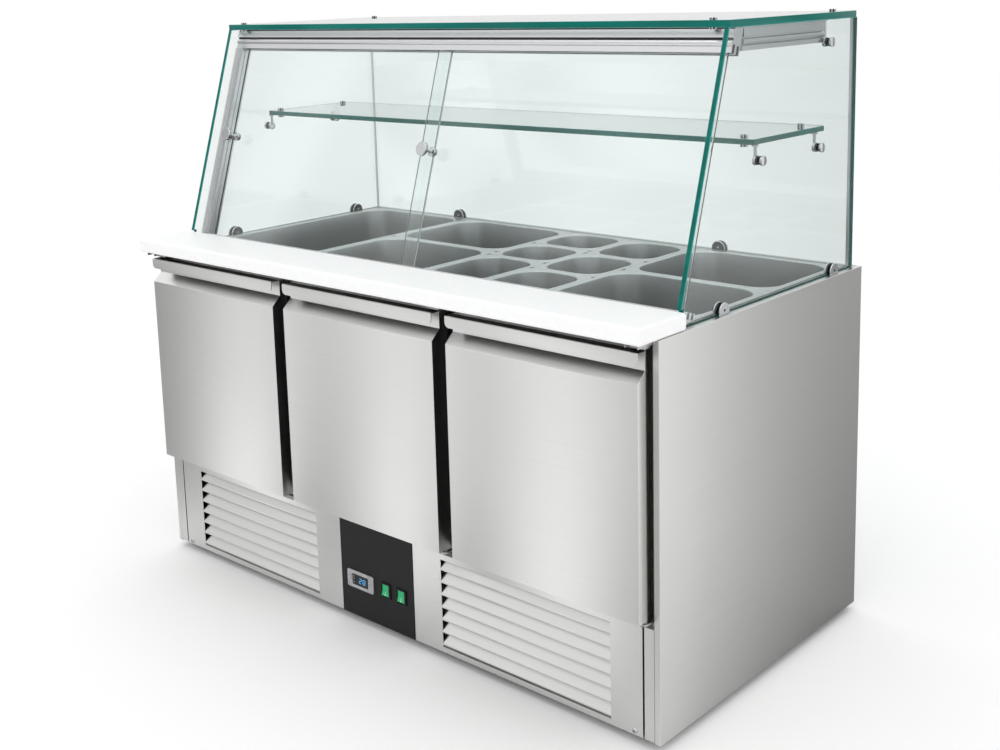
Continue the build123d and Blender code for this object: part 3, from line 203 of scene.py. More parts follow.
def solid(name, code, roughness, scale=even(80.0), contrast=0.06, relief=0.05, **more):
    """Make a plastic, rubber or paint whose tone and roughness vary a little, with a fine grain."""
    made, tree, coords = blank(name)
    grain = speckled(tree, coords, scale, 1 - contrast, 1 + contrast)
    colour = add(tree, "VectorMath", {0: linear(code)[:3], "Scale": grain}, operation="SCALE").outputs[0]
    rough = add(tree, "Math", {0: grain, 1: roughness}, operation="MULTIPLY").outputs[0]
    bump = add(tree, "Bump", {"Height": grain, "Strength": relief, "Distance": 0.001}).outputs[0]
    shader = {"Base Color": colour, "Roughness": rough, "Normal": bump}
    shader |= {key.replace("_", " "): value for key, value in more.items()}
    surface = add(tree, "BsdfPrincipled", shader).outputs[0]
    add(tree, "OutputMaterial", {"Surface": surface})
    return made


pane_glass = clear_glass("clear float glass", "#F3F8F7")
glass_edge = solid(
    "polished glass edge", "#00665D", 0.12, scale=(4.0, 4.0, 60.0), contrast=0.2, Specular_IOR_Level=0.2
)
glass_arris = solid("glass arris", "#2F8C84", 0.2, Specular_IOR_Level=0.5)
clear_edge = solid("clear glass edge", "#C9CFCE", 0.15, IOR=1.5)
clear_arris = solid("clear glass arris", "#5D6665", 0.2, IOR=1.5)
print(len(bpy.data.materials), "materials with the glass")

# %% [markdown]
# The board is white polyethylene, which is a little soft to the light and slightly waxy. The trims,
# gaskets and feet are black plastic and rubber, which hardly shine. The control plate is black powder
# coat, with a fine orange peel. Grey and pale parts are moulded or vacuum formed, smooth and half matt.

# %% Plastics, rubber and paint
board_plastic = solid(
    "white polyethylene", "#F7F8F8", 0.38, contrast=0.015, Subsurface_Weight=0.15, Subsurface_Scale=0.004
)
black_rubber = solid("black rubber", "#141414", 0.6, contrast=0.12, relief=0.1)
black_plastic = solid("black moulded plastic", "#08080A", 0.45, Specular_IOR_Level=0.3)
black_paint = solid(
    "black powder coat", "#0D0D0E", 0.5, scale=even(900.0), contrast=0.1, Specular_IOR_Level=0.3
)
grey_plastic = solid("grey moulded plastic", "#A2A3A5", 0.34, contrast=0.12)
pale_plastic = solid("pale vacuum formed plastic", "#D9DBDA", 0.4, contrast=0.02, relief=0.01)
foam = solid("polyurethane foam", "#E6D7A0", 0.85, contrast=0.12, relief=0.3)
white_coat = solid("white coated wire", "#E4E5E4", 0.35)
screen = solid("dark display window", "#04060A", 0.06, contrast=0.02)
blue_glow = solid(
    "blue display segment", "#3FA8E8", 0.3, Emission_Color=linear("#6FC4F2"), Emission_Strength=0.55
)
green_rocker = solid(
    "green translucent rocker",
    "#0E8F58",
    0.25,
    contrast=0.1,
    Emission_Color=linear("#0FA765"),
    Emission_Strength=0.3,
)
unlit_rocker = solid("unlit end of the rocker", "#03150E", 0.3)
white_print = solid("white printed mark", "#E8F3EC", 0.4)
print(len(bpy.data.materials), "finishes")

# %% [markdown]
# New pieces are worked out as numpy arrays in millimetres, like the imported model's own source. A surface
# is a grid of points, a function of two parameters, and its faces join neighbours on the grid. A shared
# helper merges coinciding points, turns the faces outwards and marks the sharp folds.

# %% Mesh helpers


def make(name, points, faces, *materials, slots=None, sharp=35):
    """Make an object in metres from points in millimetres and lists of point numbers."""
    mesh = bpy.data.meshes.new(name)
    mesh.from_pydata((np.asarray(points, float) / 1000).tolist(), [], [list(map(int, f)) for f in faces])
    for material in materials:
        mesh.materials.append(material)
    if slots is not None:
        mesh.polygons.foreach_set("material_index", slots)
    work = bmesh.new()
    work.from_mesh(mesh)
    bmesh.ops.remove_doubles(work, verts=work.verts, dist=1e-6)
    bmesh.ops.recalc_face_normals(work, faces=work.faces)
    work.to_mesh(mesh)
    work.free()
    mesh.shade_smooth()
    mesh.set_sharp_from_angle(angle=radians(sharp))
    made = bpy.data.objects.new(name, mesh)
    scene.collection.objects.link(made)
    return made


def place(piece, body, slot, *nodes):
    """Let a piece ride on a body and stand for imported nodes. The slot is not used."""
    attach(piece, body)
    if nodes:
        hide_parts(*nodes)
    return piece


def grid(rows, columns, closed_rows=False, closed_columns=False):
    """List the four corners of each face between neighbours on a grid of points."""
    steps = np.arange(rows - 1 + closed_rows), np.arange(columns - 1 + closed_columns)
    i, j = np.meshgrid(*steps, indexing="ij")
    a, b = i.ravel(), j.ravel()
    c, d = (a + 1) % rows, (b + 1) % columns
    return np.stack((a * columns + b, c * columns + b, c * columns + d, a * columns + d), 1).tolist()


def joined(shapes):
    """Put several (points, faces) shapes in one list of points and one list of faces."""
    points, faces, count = [], [], 0
    for shape_points, shape_faces in shapes:
        points.append(np.asarray(shape_points, float).reshape(-1, 3))
        faces += [[count + k for k in face] for face in shape_faces]
        count += len(points[-1])
    return np.concatenate(points), faces


# %% [markdown]
# Discs, screws and knobs come off a lathe, and a lathe's work is one profile turned about an axis. Bars and
# extrusions are one outline carried along a line.

# %% Turned and extruded shapes
x_axis, y_axis, z_axis = np.eye(3)


def turned(profile, origin, axis, segments=40):
    """Turn (radius, height) points about an axis: origin + h axis + r (cos u e1 + sin u e2)."""
    axis = np.array(axis, float) / np.linalg.norm(axis)
    e1 = np.cross(axis, z_axis if abs(axis[2]) < 0.9 else x_axis)
    e1 /= np.linalg.norm(e1)
    e2 = np.cross(axis, e1)
    u = np.linspace(0, 2 * pi, segments, endpoint=False)
    r, h = np.array(profile, float).T
    ring = np.cos(u)[:, None] * e1 + np.sin(u)[:, None] * e2
    points = np.array(origin) + h[None, :, None] * axis + r[None, :, None] * ring[:, None, :]
    return points.reshape(-1, 3), grid(segments, len(r), closed_rows=True)


def disc(radius, start, end, edge=0.8):
    """Give the profile of a disc between two heights with rounded edges."""
    bend = np.linspace(0, pi / 2, 4)
    low = [(radius - edge + edge * sin(a), start + edge - edge * cos(a)) for a in bend]
    high = [(r, start + end - h) for r, h in reversed(low)]
    return [(0, start), *low, *high, (0, end)]


def prism(outline, start, end, across, upwards, along):
    """Carry a closed (a, b) outline along a line: a across + b upwards + t along, with both ends closed."""
    flat = np.array(outline, float)
    section = flat[:, :1] * np.array(across, float) + flat[:, 1:] * np.array(upwards, float)
    count = len(flat)
    points = np.concatenate([section + t * np.array(along, float) for t in (start, end)])
    faces = grid(2, count, closed_columns=True)
    return points, faces + [list(range(count)), list(range(count, 2 * count))]


def along_x(outline, start, end):
    """Carry a (y, z) outline along X."""
    return prism(outline, start, end, y_axis, z_axis, x_axis)


def cuboid(x, y, z):
    """Give a box between two stations on each axis."""
    return along_x([(y[0], z[0]), (y[1], z[0]), (y[1], z[1]), (y[0], z[1])], *x)


print("a disc's profile has", len(disc(10, 0, 5)), "points")

# %% [markdown]
# No real edge is quite sharp. A Bevel modifier rounds the edges of a new piece, and those of a copy of a
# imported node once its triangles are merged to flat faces.

# %% Rounded edges


def round_edges(piece, width, segments=2, angle=30):
    """Round the edges of a piece with a Bevel modifier, its width in millimetres."""
    bevel = piece.modifiers.new("rounded edges", "BEVEL")
    bevel.width = width / 1000
    bevel.segments = segments
    bevel.limit_method = "ANGLE"
    bevel.angle_limit = radians(angle)
    bevel.harden_normals = True
    return piece


def softened(node, width, *materials, segments=2):
    """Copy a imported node, merge its loose triangles to flat faces, and round its edges."""
    work = bmesh.new()
    work.from_mesh(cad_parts[node].data)
    bmesh.ops.remove_doubles(work, verts=work.verts, dist=1e-6)
    bmesh.ops.dissolve_limit(work, angle_limit=radians(1), verts=work.verts, edges=work.edges)
    work.verts.index_update()
    points = np.array([v.co[:] for v in work.verts]) * 1000
    faces = [[v.index for v in face.verts] for face in work.faces]
    work.free()
    return round_edges(make("folded_" + node, points, faces, *materials), width, segments)


print("helpers ready for points in millimetres")

# %% [markdown]
# The folded sheet pieces keep the imported shape, and only their edges get the small radius of a bent or
# deburred sheet. Such a radius is one or two pixels wide, but it draws the bright line along each edge.
# The undersides of the louvre slats and the pan support bars are dark steel: painted shade under each
# slat and in the seams between the pans.

# %% Folded sheet pieces
for node, width, material, slot in (
    ("side_panel_left", 1.2, brushed_steel, "side_panels"),
    ("side_panel_right", 1.2, brushed_steel, "side_panels"),
    ("front_frame", 0.6, brushed_steel, "front_frame"),
    ("lower_front_panel", 0.5, brushed_steel, "front_panel"),
    ("louvre_slats", 0.35, brushed_steel, "louvres"),
    ("pan_well_frame", 0.5, shaded_deck_steel, "well_frame"),
    # The pan bars are dark steel, a painted shade in the seams between the pans.
    ("pan_support_bars", 1.0, painted_shade_steel, "pan_bars"),
    ("back_panel", 0.5, galvanised, "back_panel"),
    ("hinge_brackets", 0.4, plated_steel, "hinges"),
    ("control_plate", 0.4, black_paint, "control_plate"),
):
    piece = place(softened(node, width, material, painted_shade_steel), "cabinet", slot, node)
    # Faces that look down get the dark steel, a painted shade under each slat.
    if node == "louvre_slats":
        for face in piece.data.polygons:
            face.material_index = int(face.normal.z < -0.5)

# %% [markdown]
# Each door is a tray of steel sheet, filled with foam behind. Its face bulges by almost a millimetre,
# as a foamed door does. The seam between the skin and the inner panel runs all round the door's side. The
# section is carried across the width, and the bulge is a parabola of the place between the two sides. The
# handle is a strip folded forward and down. Its level top is black: painted shade of the dark gap under
# the board.

# %% Door skins
door_half = 209.95
door_centres = {"left": -453.6, "middle": 0.0, "right": 453.6}
door_front, door_step, door_rear = -355.6, -334.3, -315.0
door_bottom, chamfer_low, chamfer_high, door_top = 239.4, 651.1, 670.3, 704.0
door_bulge = 0.8
lip_height, lip_corner, lip_sheet = 22.0, 10.0, 1.5
fold_radius = 2.2
door_section = np.array(
    [
        (door_rear, door_bottom),
        (door_front, door_bottom),
        (door_front, chamfer_low),
        (door_step, chamfer_high),
        (door_step, door_top),
        (door_rear, door_top),
    ]
)


def door_tray(centre):
    """Carry the door's section across its width; face points move out by bulge (1 - (x / half) ** 2)."""
    side = np.linspace(-1, 1, 25)
    points = np.zeros((len(side), len(door_section), 3))
    points[:, :, 0] = centre + door_half * side[:, None]
    points[:, :, 1:] = door_section
    face = np.arange(len(door_section))
    on_face = (face == 1) | (face == 2)
    points[:, :, 1] -= door_bulge * (1 - side[:, None] ** 2) * on_face
    count = len(door_section)
    ends = [list(range(count)), list(range((len(side) - 1) * count, len(side) * count))]
    return points.reshape(-1, 3), grid(len(side), count) + ends


def handle_lip(centre):
    """Fold a strip forward and down: a level run, a quarter bend, and a drop with rounded corners."""
    x = np.concatenate(
        (
            -door_half + lip_corner * (1 - np.cos(np.linspace(0, pi / 2, 9))),
            door_half - lip_corner * (1 - np.cos(np.linspace(pi / 2, 0, 9))),
        )
    )
    inner = np.clip(np.abs(x) - (door_half - lip_corner), 0, lip_corner)
    lower = door_top - lip_height + lip_corner - np.sqrt(lip_corner**2 - inner**2)
    bend = np.linspace(0, pi / 2, 6)
    middle = lip_sheet / 2
    bend_radius = fold_radius - middle
    run_y = np.concatenate(([door_step], door_front + fold_radius - bend_radius * np.sin(bend)))
    run_z = np.concatenate(([door_top - middle], door_top - fold_radius + bend_radius * np.cos(bend)))
    points = np.zeros((len(x), len(run_y) + 1, 3))
    points[:, :, 0] = centre + x[:, None]
    points[:, :-1, 1], points[:, -1, 1] = run_y, run_y[-1]
    points[:, :-1, 2], points[:, -1, 2] = run_z, lower
    faces = grid(len(x), len(run_y) + 1)
    # The faces of the level run take the second, black material: painted shade under the board.
    return points.reshape(-1, 3), faces, [int(k % len(run_y) == 0) for k in range(len(faces))]


for door, centre in door_centres.items():
    tray = make(f"door_tray_{door}", *door_tray(centre), brushed_steel)
    wall = tray.modifiers.new("sheet", "SOLIDIFY")
    wall.thickness, wall.offset = 0.001, -1
    round_edges(tray, 1.3, 3)
    place(tray, f"door_{door}", "door_skins", f"door_skin_{door}")
    points, faces, painted_shade_run = handle_lip(centre)
    lip = make(f"door_handle_{door}", points, faces, brushed_steel, black_plastic, slots=painted_shade_run, sharp=60)
    wall = lip.modifiers.new("sheet", "SOLIDIFY")
    wall.thickness, wall.offset = lip_sheet / 1000, 0
    round_edges(lip, 0.4)
    place(lip, f"door_{door}", "door_skins")
print("skins and handles of the doors", *door_centres)

# %% [markdown]
# The gasket is a soft extrusion with a magnet in its head and a fold behind it, welded into a frame. Its
# section is carried round a rounded rectangle. The same walk round a rectangle makes the pans.

# %% Door seams and gaskets


def round_walk(half_x, half_y, radius, steps=8):
    """Walk round a rounded rectangle: corner centre + radius (cos u, sin u), for arrays of sizes."""
    half_x, half_y, radius = (np.asarray(v, float)[None, :] for v in (half_x, half_y, radius))
    x, y = [], []
    for quarter, (sx, sy) in enumerate(((1, 1), (-1, 1), (-1, -1), (1, -1))):
        u = (quarter + np.linspace(0, 1, steps + 1))[:, None] * pi / 2
        x.append(sx * (half_x - radius) + radius * np.cos(u))
        y.append(sy * (half_y - radius) + radius * np.sin(u))
    return np.concatenate(x), np.concatenate(y)


half_height, mid_height = (door_top - door_bottom) / 2, (door_top + door_bottom) / 2
seam_y, seam_out, seam_corner, seam_sheet = (-324.0, -322.6), 0.1, 1.2, 0.3
for door, centre in door_centres.items():
    x, z = round_walk([door_half + seam_out] * 2, [half_height + seam_out] * 2, [seam_corner] * 2, steps=3)
    y = np.broadcast_to(seam_y, x.shape)
    points = np.stack((centre + x, y, mid_height + z), 2).reshape(-1, 3)
    seam = make(f"door_seam_{door}", points, grid(*x.shape, closed_rows=True), black_rubber)
    wall = seam.modifiers.new("strip", "SOLIDIFY")
    wall.thickness, wall.offset = seam_sheet / 1000, -1
    place(seam, f"door_{door}", "door_skins")

gasket_section = np.array(
    [
        (12.6, -315.0),
        (12.6, -313.6),
        (14.2, -312.8),
        (12.4, -311.4),
        (12.2, -308.6),
        (13.4, -307.4),
        (22.6, -307.4),
        (23.8, -308.6),
        (23.6, -311.4),
        (21.8, -312.8),
        (23.4, -313.6),
        (23.4, -315.0),
    ]
)
gasket_corner = 30.0
for door, centre in door_centres.items():
    inset = gasket_section[:, 0]
    x, z = round_walk(door_half - inset, half_height - inset, gasket_corner - inset, steps=4)
    y = np.broadcast_to(gasket_section[:, 1], x.shape)
    points = np.stack((centre + x, y, mid_height + z), 2).reshape(-1, 3)
    gasket = make(f"folded_gasket_{door}", points, grid(*x.shape, True, True), black_rubber, sharp=50)
    place(gasket, f"door_{door}", "gaskets", f"door_gasket_{door}")
print("gaskets of", len(gasket_section), "by", x.shape[0], "points")

# %% [markdown]
# The domed screws of the lower panel are turned shapes with a shallow cross, and the board is a slab with
# softly milled edges, because it is rinsed and handled every day.

# %% Screws and cutting board
plates = ((-657.05, 1), (203.45, -1), (657.05, -1))
plate_levels, plate_steps, plate_y = (229.2, 714.3), (4.0, 17.0), -310.5
head = [(0, -1.6), (1.6, -1.5), (2.6, -0.9), (2.9, 0.0), (0, 0.0)]
screw_shapes = [
    turned(head, (x + inboard * step, plate_y, z), y_axis, 20)
    for x, inboard in plates
    for z in plate_levels
    for step in plate_steps
]
# The hinge screws are black: painted shade on their heads under the plates.
place(make("hinge_screws", *joined(screw_shapes), black_plastic, sharp=60), "cabinet", "hinges")

screw_x, screw_y, screw_z, screw_radius, screw_dome = 630, -326.0, 25, 5.5, 3.0
dome = [(screw_radius * sin(a), screw_dome * (1 - cos(a))) for a in np.linspace(0, pi / 2, 7)]
screw_shapes, slots = [], []
for x in (-screw_x, screw_x):
    screw_shapes.append(turned([*dome, (0, screw_dome)], (x, screw_y, screw_z), y_axis, 32))
    # The cross is two black bars: painted shade of the screw's recess.
    for half_x, half_z in ((2.6, 0.45), (0.45, 2.6)):
        cross_x, cross_z = (x - half_x, x + half_x), (screw_z - half_z, screw_z + half_z)
        slots.append(cuboid(cross_x, (screw_y - 0.15, screw_y + 0.8), cross_z))
screws = make("domed_screws", *joined(screw_shapes), chrome, sharp=60)
place(screws, "cabinet", "screws", "panel_screws")
place(make("painted_shade_screw_crosses", *joined(slots), black_plastic), "cabinet", "screws")

board_x, board_y, board_z, board_edge = (-682.5, 682.5), (-375.0, -241.0), (720.0, 750.0), 6.0
board = make("cutting_slab", *cuboid(board_x, board_y, board_z), board_plastic)
place(round_edges(board, board_edge, 6), "board", "board", "cutting_board")
print(len(screw_shapes), "domed screws and a board", board_x[1] - board_x[0], "mm wide")

# %% [markdown]
# The temperature controller is a rounded bezel with a dark window, two keys and blue digits of seven bars.
# The two switches are black frames with lit green rockers. No name is printed on the plate.

# %% Controls
controls_z, bezel_x, bezel_y = 97.5, -46.0, -327.5
lit_part, key_x, switch_x, switch_spacing, switch_y = 6.0, 28.0, 48.0, 22.0, -324.5
for node, width, material, slot in (
    ("controller_housing", 0.9, grey_plastic, "controller"),
    ("controller_display", 0.2, screen, "display"),
    ("switch_frames", 0.7, black_plastic, "switch_frames"),
):
    place(softened(node, width, material, segments=3), "cabinet", slot, node)
for side in ("left", "right"):
    key = softened(f"controller_button_{side}", 0.5, grey_plastic)
    place(key, f"key_{side}", "keys", f"controller_button_{side}")
    rocker = softened(f"switch_rocker_{side}", 0.5, unlit_rocker, green_rocker)
    for face in rocker.data.polygons:
        face.material_index = int(face.center.z * 1000 < controls_z + lit_part)
    place(rocker, f"rocker_{side}", "rockers", f"switch_rocker_{side}")


# %% [markdown]
# A digit of the display is seven bars that lean a little, and only some of them are lit. Digits and printed
# marks are thin raised outlines, so that they stay crisp from close by.

# %% Digits and marks


def printed(outline, origin, across, upwards, height=0.15):
    """Raise a small flat (a, b) outline off a face: origin + a across + b upwards."""
    out = np.cross(across, upwards)
    points, faces = prism(outline, -0.1, height, across, upwards, out)
    return points + np.array(origin), faces


def bar_outline(centre, half_long, half_wide, level):
    """Give one bar of a digit: six-sided, with pointed ends, level or upright, leaning like the digit."""
    along = np.array((-1.0, -0.8, 0.8, 1.0, 0.8, -0.8)) * half_long
    aside = np.array((0.0, -1.0, -1.0, 0.0, 1.0, 1.0)) * half_wide
    a, b = (along, aside) if level else (aside, along)
    return np.stack((centre[0] + a + 0.08 * (centre[1] + b), centre[1] + b), 1)


flat_face = (x_axis, z_axis)
bars = {
    **{"a": (0, 2, 1), "b": (1, 1, 0), "c": (1, -1, 0), "d": (0, -2, 1)},
    **{"e": (-1, -1, 0), "f": (-1, 1, 0), "g": (0, 0, 1)},
}
bar_x, bar_z, level_bar, upright_bar, half_bar = 3.3, 2.6, 2.9, 2.3, 0.55
shapes = []
for lit, digit_x in (("abged", 0.5), ("abcdefg", 11.5)):
    for bar in lit:
        column, row, level = bars[bar]
        centre = (digit_x + bar_x * column, bar_z * row)
        outline = bar_outline(centre, level_bar if level else upright_bar, half_bar, level)
        shapes.append(printed(outline, (bezel_x, bezel_y, controls_z), *flat_face))
place(make("display_digits", *joined(shapes), blue_glow), "cabinet", "display")
dot = [(0.8 * cos(a), 0.8 * sin(a)) for a in np.linspace(0, 2 * pi, 12, endpoint=False)]
mark_x = bezel_x - 18.5
marks = [printed(dot, (mark_x, bezel_y, controls_z + z), *flat_face, height=0.1) for z in (-6.0, 1.5, 6.5)]
place(make("display_marks", *joined(marks), white_print), "cabinet", "display")
for side, sign in (("left", 1), ("right", -1)):
    arrow = [(-2.2, -1.2), (-1.5, -1.2), (0, 0.4), (1.5, -1.2), (2.2, -1.2), (0, 1.2)]
    outline = [(a, sign * b) for a, b in arrow]
    shape = printed(outline, (bezel_x - sign * key_x, bezel_y - 0.8, controls_z), *flat_face, height=0.08)
    place(make(f"key_arrow_{side}", *shape, black_plastic), f"key_{side}", "keys")
    lean = radians(14)
    tilted = (x_axis, np.array((0.0, sin(lean), cos(lean))))
    origin = (switch_x - sign * switch_spacing, switch_y, controls_z)
    stroke = printed([(-0.45, -5.2), (0.45, -5.2), (0.45, -2.2), (-0.45, -2.2)], origin, *tilted)
    ring_centre = np.array(origin) - 8.6 * tilted[1]
    circle = [(1.0, 0), (1.6, 0), (1.6, 0.15), (1.0, 0.15), (1.0, 0)]
    ring = turned(circle, ring_centre, np.cross(*tilted), 20)
    place(make(f"rocker_marks_{side}", *joined([stroke, ring]), white_print), f"rocker_{side}", "rockers")
print("controls with", len(shapes), "lit bars")

# %% [markdown]
# A food pan is pressed from one sheet: a flat rim, a wide bend, walls that lean in a little so that pans
# stack, and a rounded foot. One profile from the middle of the floor, up inside, round the rim and down
# outside is carried round a rounded rectangle, whose corners change from the rim to the mouth.

# %% Food pans
pan_rim_top, pan_rim_sheet, pan_wall = 722.7, 1.2, 1.0
pan_depth, pan_lean, pan_shoulder, pan_foot = 150.0, 3.0, 2.2, 16.0
pan_play, rim_inset, rim_roll, rim_corner, rim_width = 0.6, 0.7, 1.6, 12.0, 10.0
pans_front = -190.0
columns_x = (-650.0, -325.0, 0.0, 162.5, 325.0, 650.0)
pan_rows = {
    "pan_full": ((0, (530.0,)),),
    "pans_half": ((1, (265.0, 265.0)), (4, (265.0, 265.0))),
    "pans_small": ((2, (230.0, 150.0, 150.0)), (3, (530 / 3,) * 3)),
}


def pan_skin(mouth_corner, offset):
    """Give inset, depth and corner radius down one face of a pan, offset outwards by the sheet."""
    bend = np.linspace(0, pi / 2, 6)
    flat_inset = np.array((3.2, 6.8))
    bend_inset = rim_width - pan_shoulder + pan_shoulder * np.sin(bend)
    bend_drop = pan_shoulder * (1 - np.cos(bend))
    wall_drop = np.array((3.4, 0.35 * pan_depth, 0.7 * pan_depth, pan_depth - pan_foot + offset))
    wall_inset = rim_width + wall_drop * np.tan(radians(pan_lean))
    foot_inset = wall_inset[-1] + pan_foot * (1 - np.cos(bend[1:]))
    foot_drop = wall_drop[-1] + (pan_foot - offset) * np.sin(bend[1:])
    inset = np.concatenate((flat_inset, bend_inset, wall_inset, foot_inset))
    drop = np.concatenate((0 * flat_inset, bend_drop, wall_drop, foot_drop))
    corner = rim_corner + (mouth_corner - rim_corner) * np.clip(inset / rim_width, 0, 1)
    corner = corner - np.clip(inset - rim_width, 0, None) * 0.6
    return inset - offset, drop, corner


def pan_shape(x, y):
    """Carry the pan's profile round its rim; half size = rim half size - inset, height = top - drop."""
    size = np.array((x[1] - x[0] - pan_play, y[1] - y[0] - pan_play))
    mouth_corner = min(52.0, 0.34 * (min(size) - 2 * rim_width))
    inside = pan_skin(mouth_corner, 0.0)
    outside = pan_skin(mouth_corner, pan_wall)
    roll = np.linspace(0, pi / 2, 4)
    rim_edge = rim_inset + rim_roll * (1 - np.sin(roll))
    rim = (rim_edge, pan_rim_sheet * (1 - np.cos(roll)), np.full(4, rim_corner))
    outer_drop = np.maximum(outside[1] + pan_rim_sheet * (outside[1] < 3), pan_rim_sheet)
    inset = np.concatenate((inside[0][::-1], rim[0], outside[0]))
    drop = np.concatenate((inside[1][::-1], rim[1], outer_drop))
    corner = np.concatenate((inside[2][::-1], rim[2], outside[2]))
    half_x, half_y = size[0] / 2 - inset, size[1] / 2 - inset
    px, py = round_walk(half_x, half_y, np.clip(corner, 4.0, None))
    pz = np.broadcast_to(pan_rim_top - drop, px.shape)
    points = np.stack(((x[0] + x[1]) / 2 + px, (y[0] + y[1]) / 2 + py, pz), 2)
    rows, columns = px.shape
    ends = [[k * columns for k in range(rows)], [k * columns + columns - 1 for k in range(rows)]]
    return points.reshape(-1, 3), grid(rows, columns, closed_rows=True) + ends


for node, groups in pan_rows.items():
    shapes = []
    for column, lengths in groups:
        y = pans_front + np.concatenate(((0,), np.cumsum(lengths)))
        shapes += [pan_shape(columns_x[column : column + 2], y[k : k + 2]) for k in range(len(lengths))]
    place(make("drawn_" + node, *joined(shapes), drawn_steel, sharp=50), "cabinet", "pans", node)
    print(node, len(shapes), "pans")

# %% [markdown]
# A pane is its outline carried through its thickness, with a ground arris along both rims. The outline is
# moved in by the arris along each corner's own bisector. The two sides are clear, and the rim and the
# arris each have a finish of their own.

# %% Glass panes
slant = radians(17.63)
nose = np.array((-240.0, 751.0))
along_slant = np.array((0.0, sin(slant), cos(slant)))
behind_slant = np.array((0.0, cos(slant), -sin(slant)))
nose_point = np.array((0.0, *nose))


def moved_in(outline, distance):
    """Move each side of a closed outline inwards: corner + distance (n1 + n2) / (1 + n1 . n2)."""
    p = np.array(outline, float)
    edge = np.roll(p, -1, 0) - p
    normal = np.stack((-edge[:, 1], edge[:, 0]), 1) / np.linalg.norm(edge, axis=1)[:, None]
    area = np.sum(p[:, 0] * np.roll(p[:, 1], -1) - np.roll(p[:, 0], -1) * p[:, 1])
    normal *= np.sign(area)
    before = np.roll(normal, 1, 0)
    return p + distance * (normal + before) / (1 + np.sum(normal * before, 1))[:, None]


def pane_shape(outline, thickness, origin, across, upwards, arris=0.6, standing=None, hidden=None):
    """Give a pane's points, faces and the finish of each face: 0 clear, 1 edge, 2 arris.

    The side that a pane stands on has a dark arris, because it mirrors the edge. A hidden side is clear.
    """
    across, upwards = np.array(across, float), np.array(upwards, float)
    through = np.cross(across, upwards)
    rings = ((arris, 0), (0, arris), (0, thickness - arris), (arris, thickness))
    points = []
    for inset, t in rings:
        flat = moved_in(outline, inset)
        points.append(np.array(origin) + flat[:, :1] * across + flat[:, 1:] * upwards + t * through)
    count = len(outline)
    faces = grid(len(rings), count, closed_columns=True)
    finish = [2] * count + [1] * count + [2] * count + [0, 0]
    if standing is not None:
        finish[standing] = finish[2 * count + standing] = 1
    if hidden is not None:
        finish[hidden] = finish[count + hidden] = finish[2 * count + hidden] = 0
    return np.concatenate(points), faces + [list(range(count)), list(range(3 * count, 4 * count))], finish


def rounded(outline, radius, steps=5):
    """Round the corners of a rectangle given by two opposite corners."""
    (x0, y0), (x1, y1) = outline
    px, py = round_walk([(x1 - x0) / 2], [(y1 - y0) / 2], [radius], steps)
    return np.stack(((x0 + x1) / 2 + px[:, 0], (y0 + y1) / 2 + py[:, 0]), 1)


def panes(name, shapes, body, slot, nodes, edge, arris=glass_arris):
    """Make one piece of several panes."""
    points, faces = joined([shape[:2] for shape in shapes])
    finish = sum((shape[2] for shape in shapes), [])
    made = make(name, points, faces, pane_glass, edge, arris, slots=finish, sharp=20)
    return place(made, body, slot, *nodes)


print("the case leans back", round(90 - np.degrees(slant), 2), "degrees from level")

# %% [markdown]
# The case has two side panes with a slanted front edge, a rear pane, a top pane and a shelf. Two lighter
# panes slide side by side on the slant, one track behind the other.

# %% Case panes and sliding doors
pane_in, pane_out, pane_low, glass_top = 660.0, 670.0, 720.3, 1204.0
side_glass, rear_glass, top_glass, shelf_glass, door_glass = 10.0, 6.0, 12.0, 10.0, 5.0
inside_x, shelf_z, nose_notch, slant_top_y = 659.7, 997.0, 6.5, -96.0
rear_pane = (353.0, 359.0)
side_outline = [
    (nose[0] + nose_notch, pane_low),
    (rear_pane[1], pane_low),
    (rear_pane[1], glass_top),
    (slant_top_y, glass_top),
    (nose[0], nose[1]),
    (nose[0] + nose_notch, nose[1]),
]
side_shapes = [
    pane_shape(side_outline, side_glass, (x, 0, 0), y_axis, z_axis, arris=1.3, standing=0)
    for x in (-pane_out, pane_in)
]
rear_outline = [(-inside_x, pane_low), (inside_x, pane_low), (inside_x, glass_top), (-inside_x, glass_top)]
rear_shape = pane_shape(rear_outline, rear_glass, (0, rear_pane[1], 0), x_axis, z_axis, standing=0)
panes("case_panes", [*side_shapes, rear_shape], "cabinet", "glass", ["glass_walls"], glass_edge)
top_outline = rounded(((-670.0, -98.0), (670.0, 359.0)), 6.0)
top_shape = pane_shape(top_outline, top_glass, (0, 0, glass_top), x_axis, y_axis)
panes("case_top", [top_shape], "cabinet", "glass", ["glass_top_pane"], glass_edge)
shelf_outline = rounded(((-655.0, -2.0), (655.0, 256.0)), 6.0)
shelf_shape = pane_shape(shelf_outline, shelf_glass, (0, 0, shelf_z), x_axis, y_axis)
panes("case_shelf", [shelf_shape], "cabinet", "glass", ["glass_shelf"], glass_edge)
tracks = {"left": 43.0, "right": 30.0}
door_low, door_high = -11.7, 450.3
for side, x, hidden in (("left", (-651.7, 17.0), 3), ("right", (-10.0, 651.7), 1)):
    outline = [(x[0], door_low), (x[1], door_low), (x[1], door_high), (x[0], door_high)]
    start = nose_point + (tracks[side] + door_glass / 2) * behind_slant
    shape = pane_shape(outline, door_glass, start, x_axis, along_slant, arris=0.7, hidden=hidden)
    body = f"glass_door_{side}"
    panes(f"door_pane_{side}", [shape], body, "glass", [f"sliding_door_{side}"], clear_edge, clear_arris)

# %% [markdown]
# The glass is held by turned fittings: half-round clamps on the deck, disc pairs that carry the shelf,
# studs of six bars round a rubber core through the level panes, and a two-disc knob on each sliding door.
# Wherever metal would touch glass there is a soft black washer between them, and each clamp's inner face
# is black.

# %% Half-round clamps
washer, clamp_disc, clamp_radius = 2.2, 2.6, 16.0
clear_of_glass, deck_z, clamp_z = 0.1, 720.0, 725.0


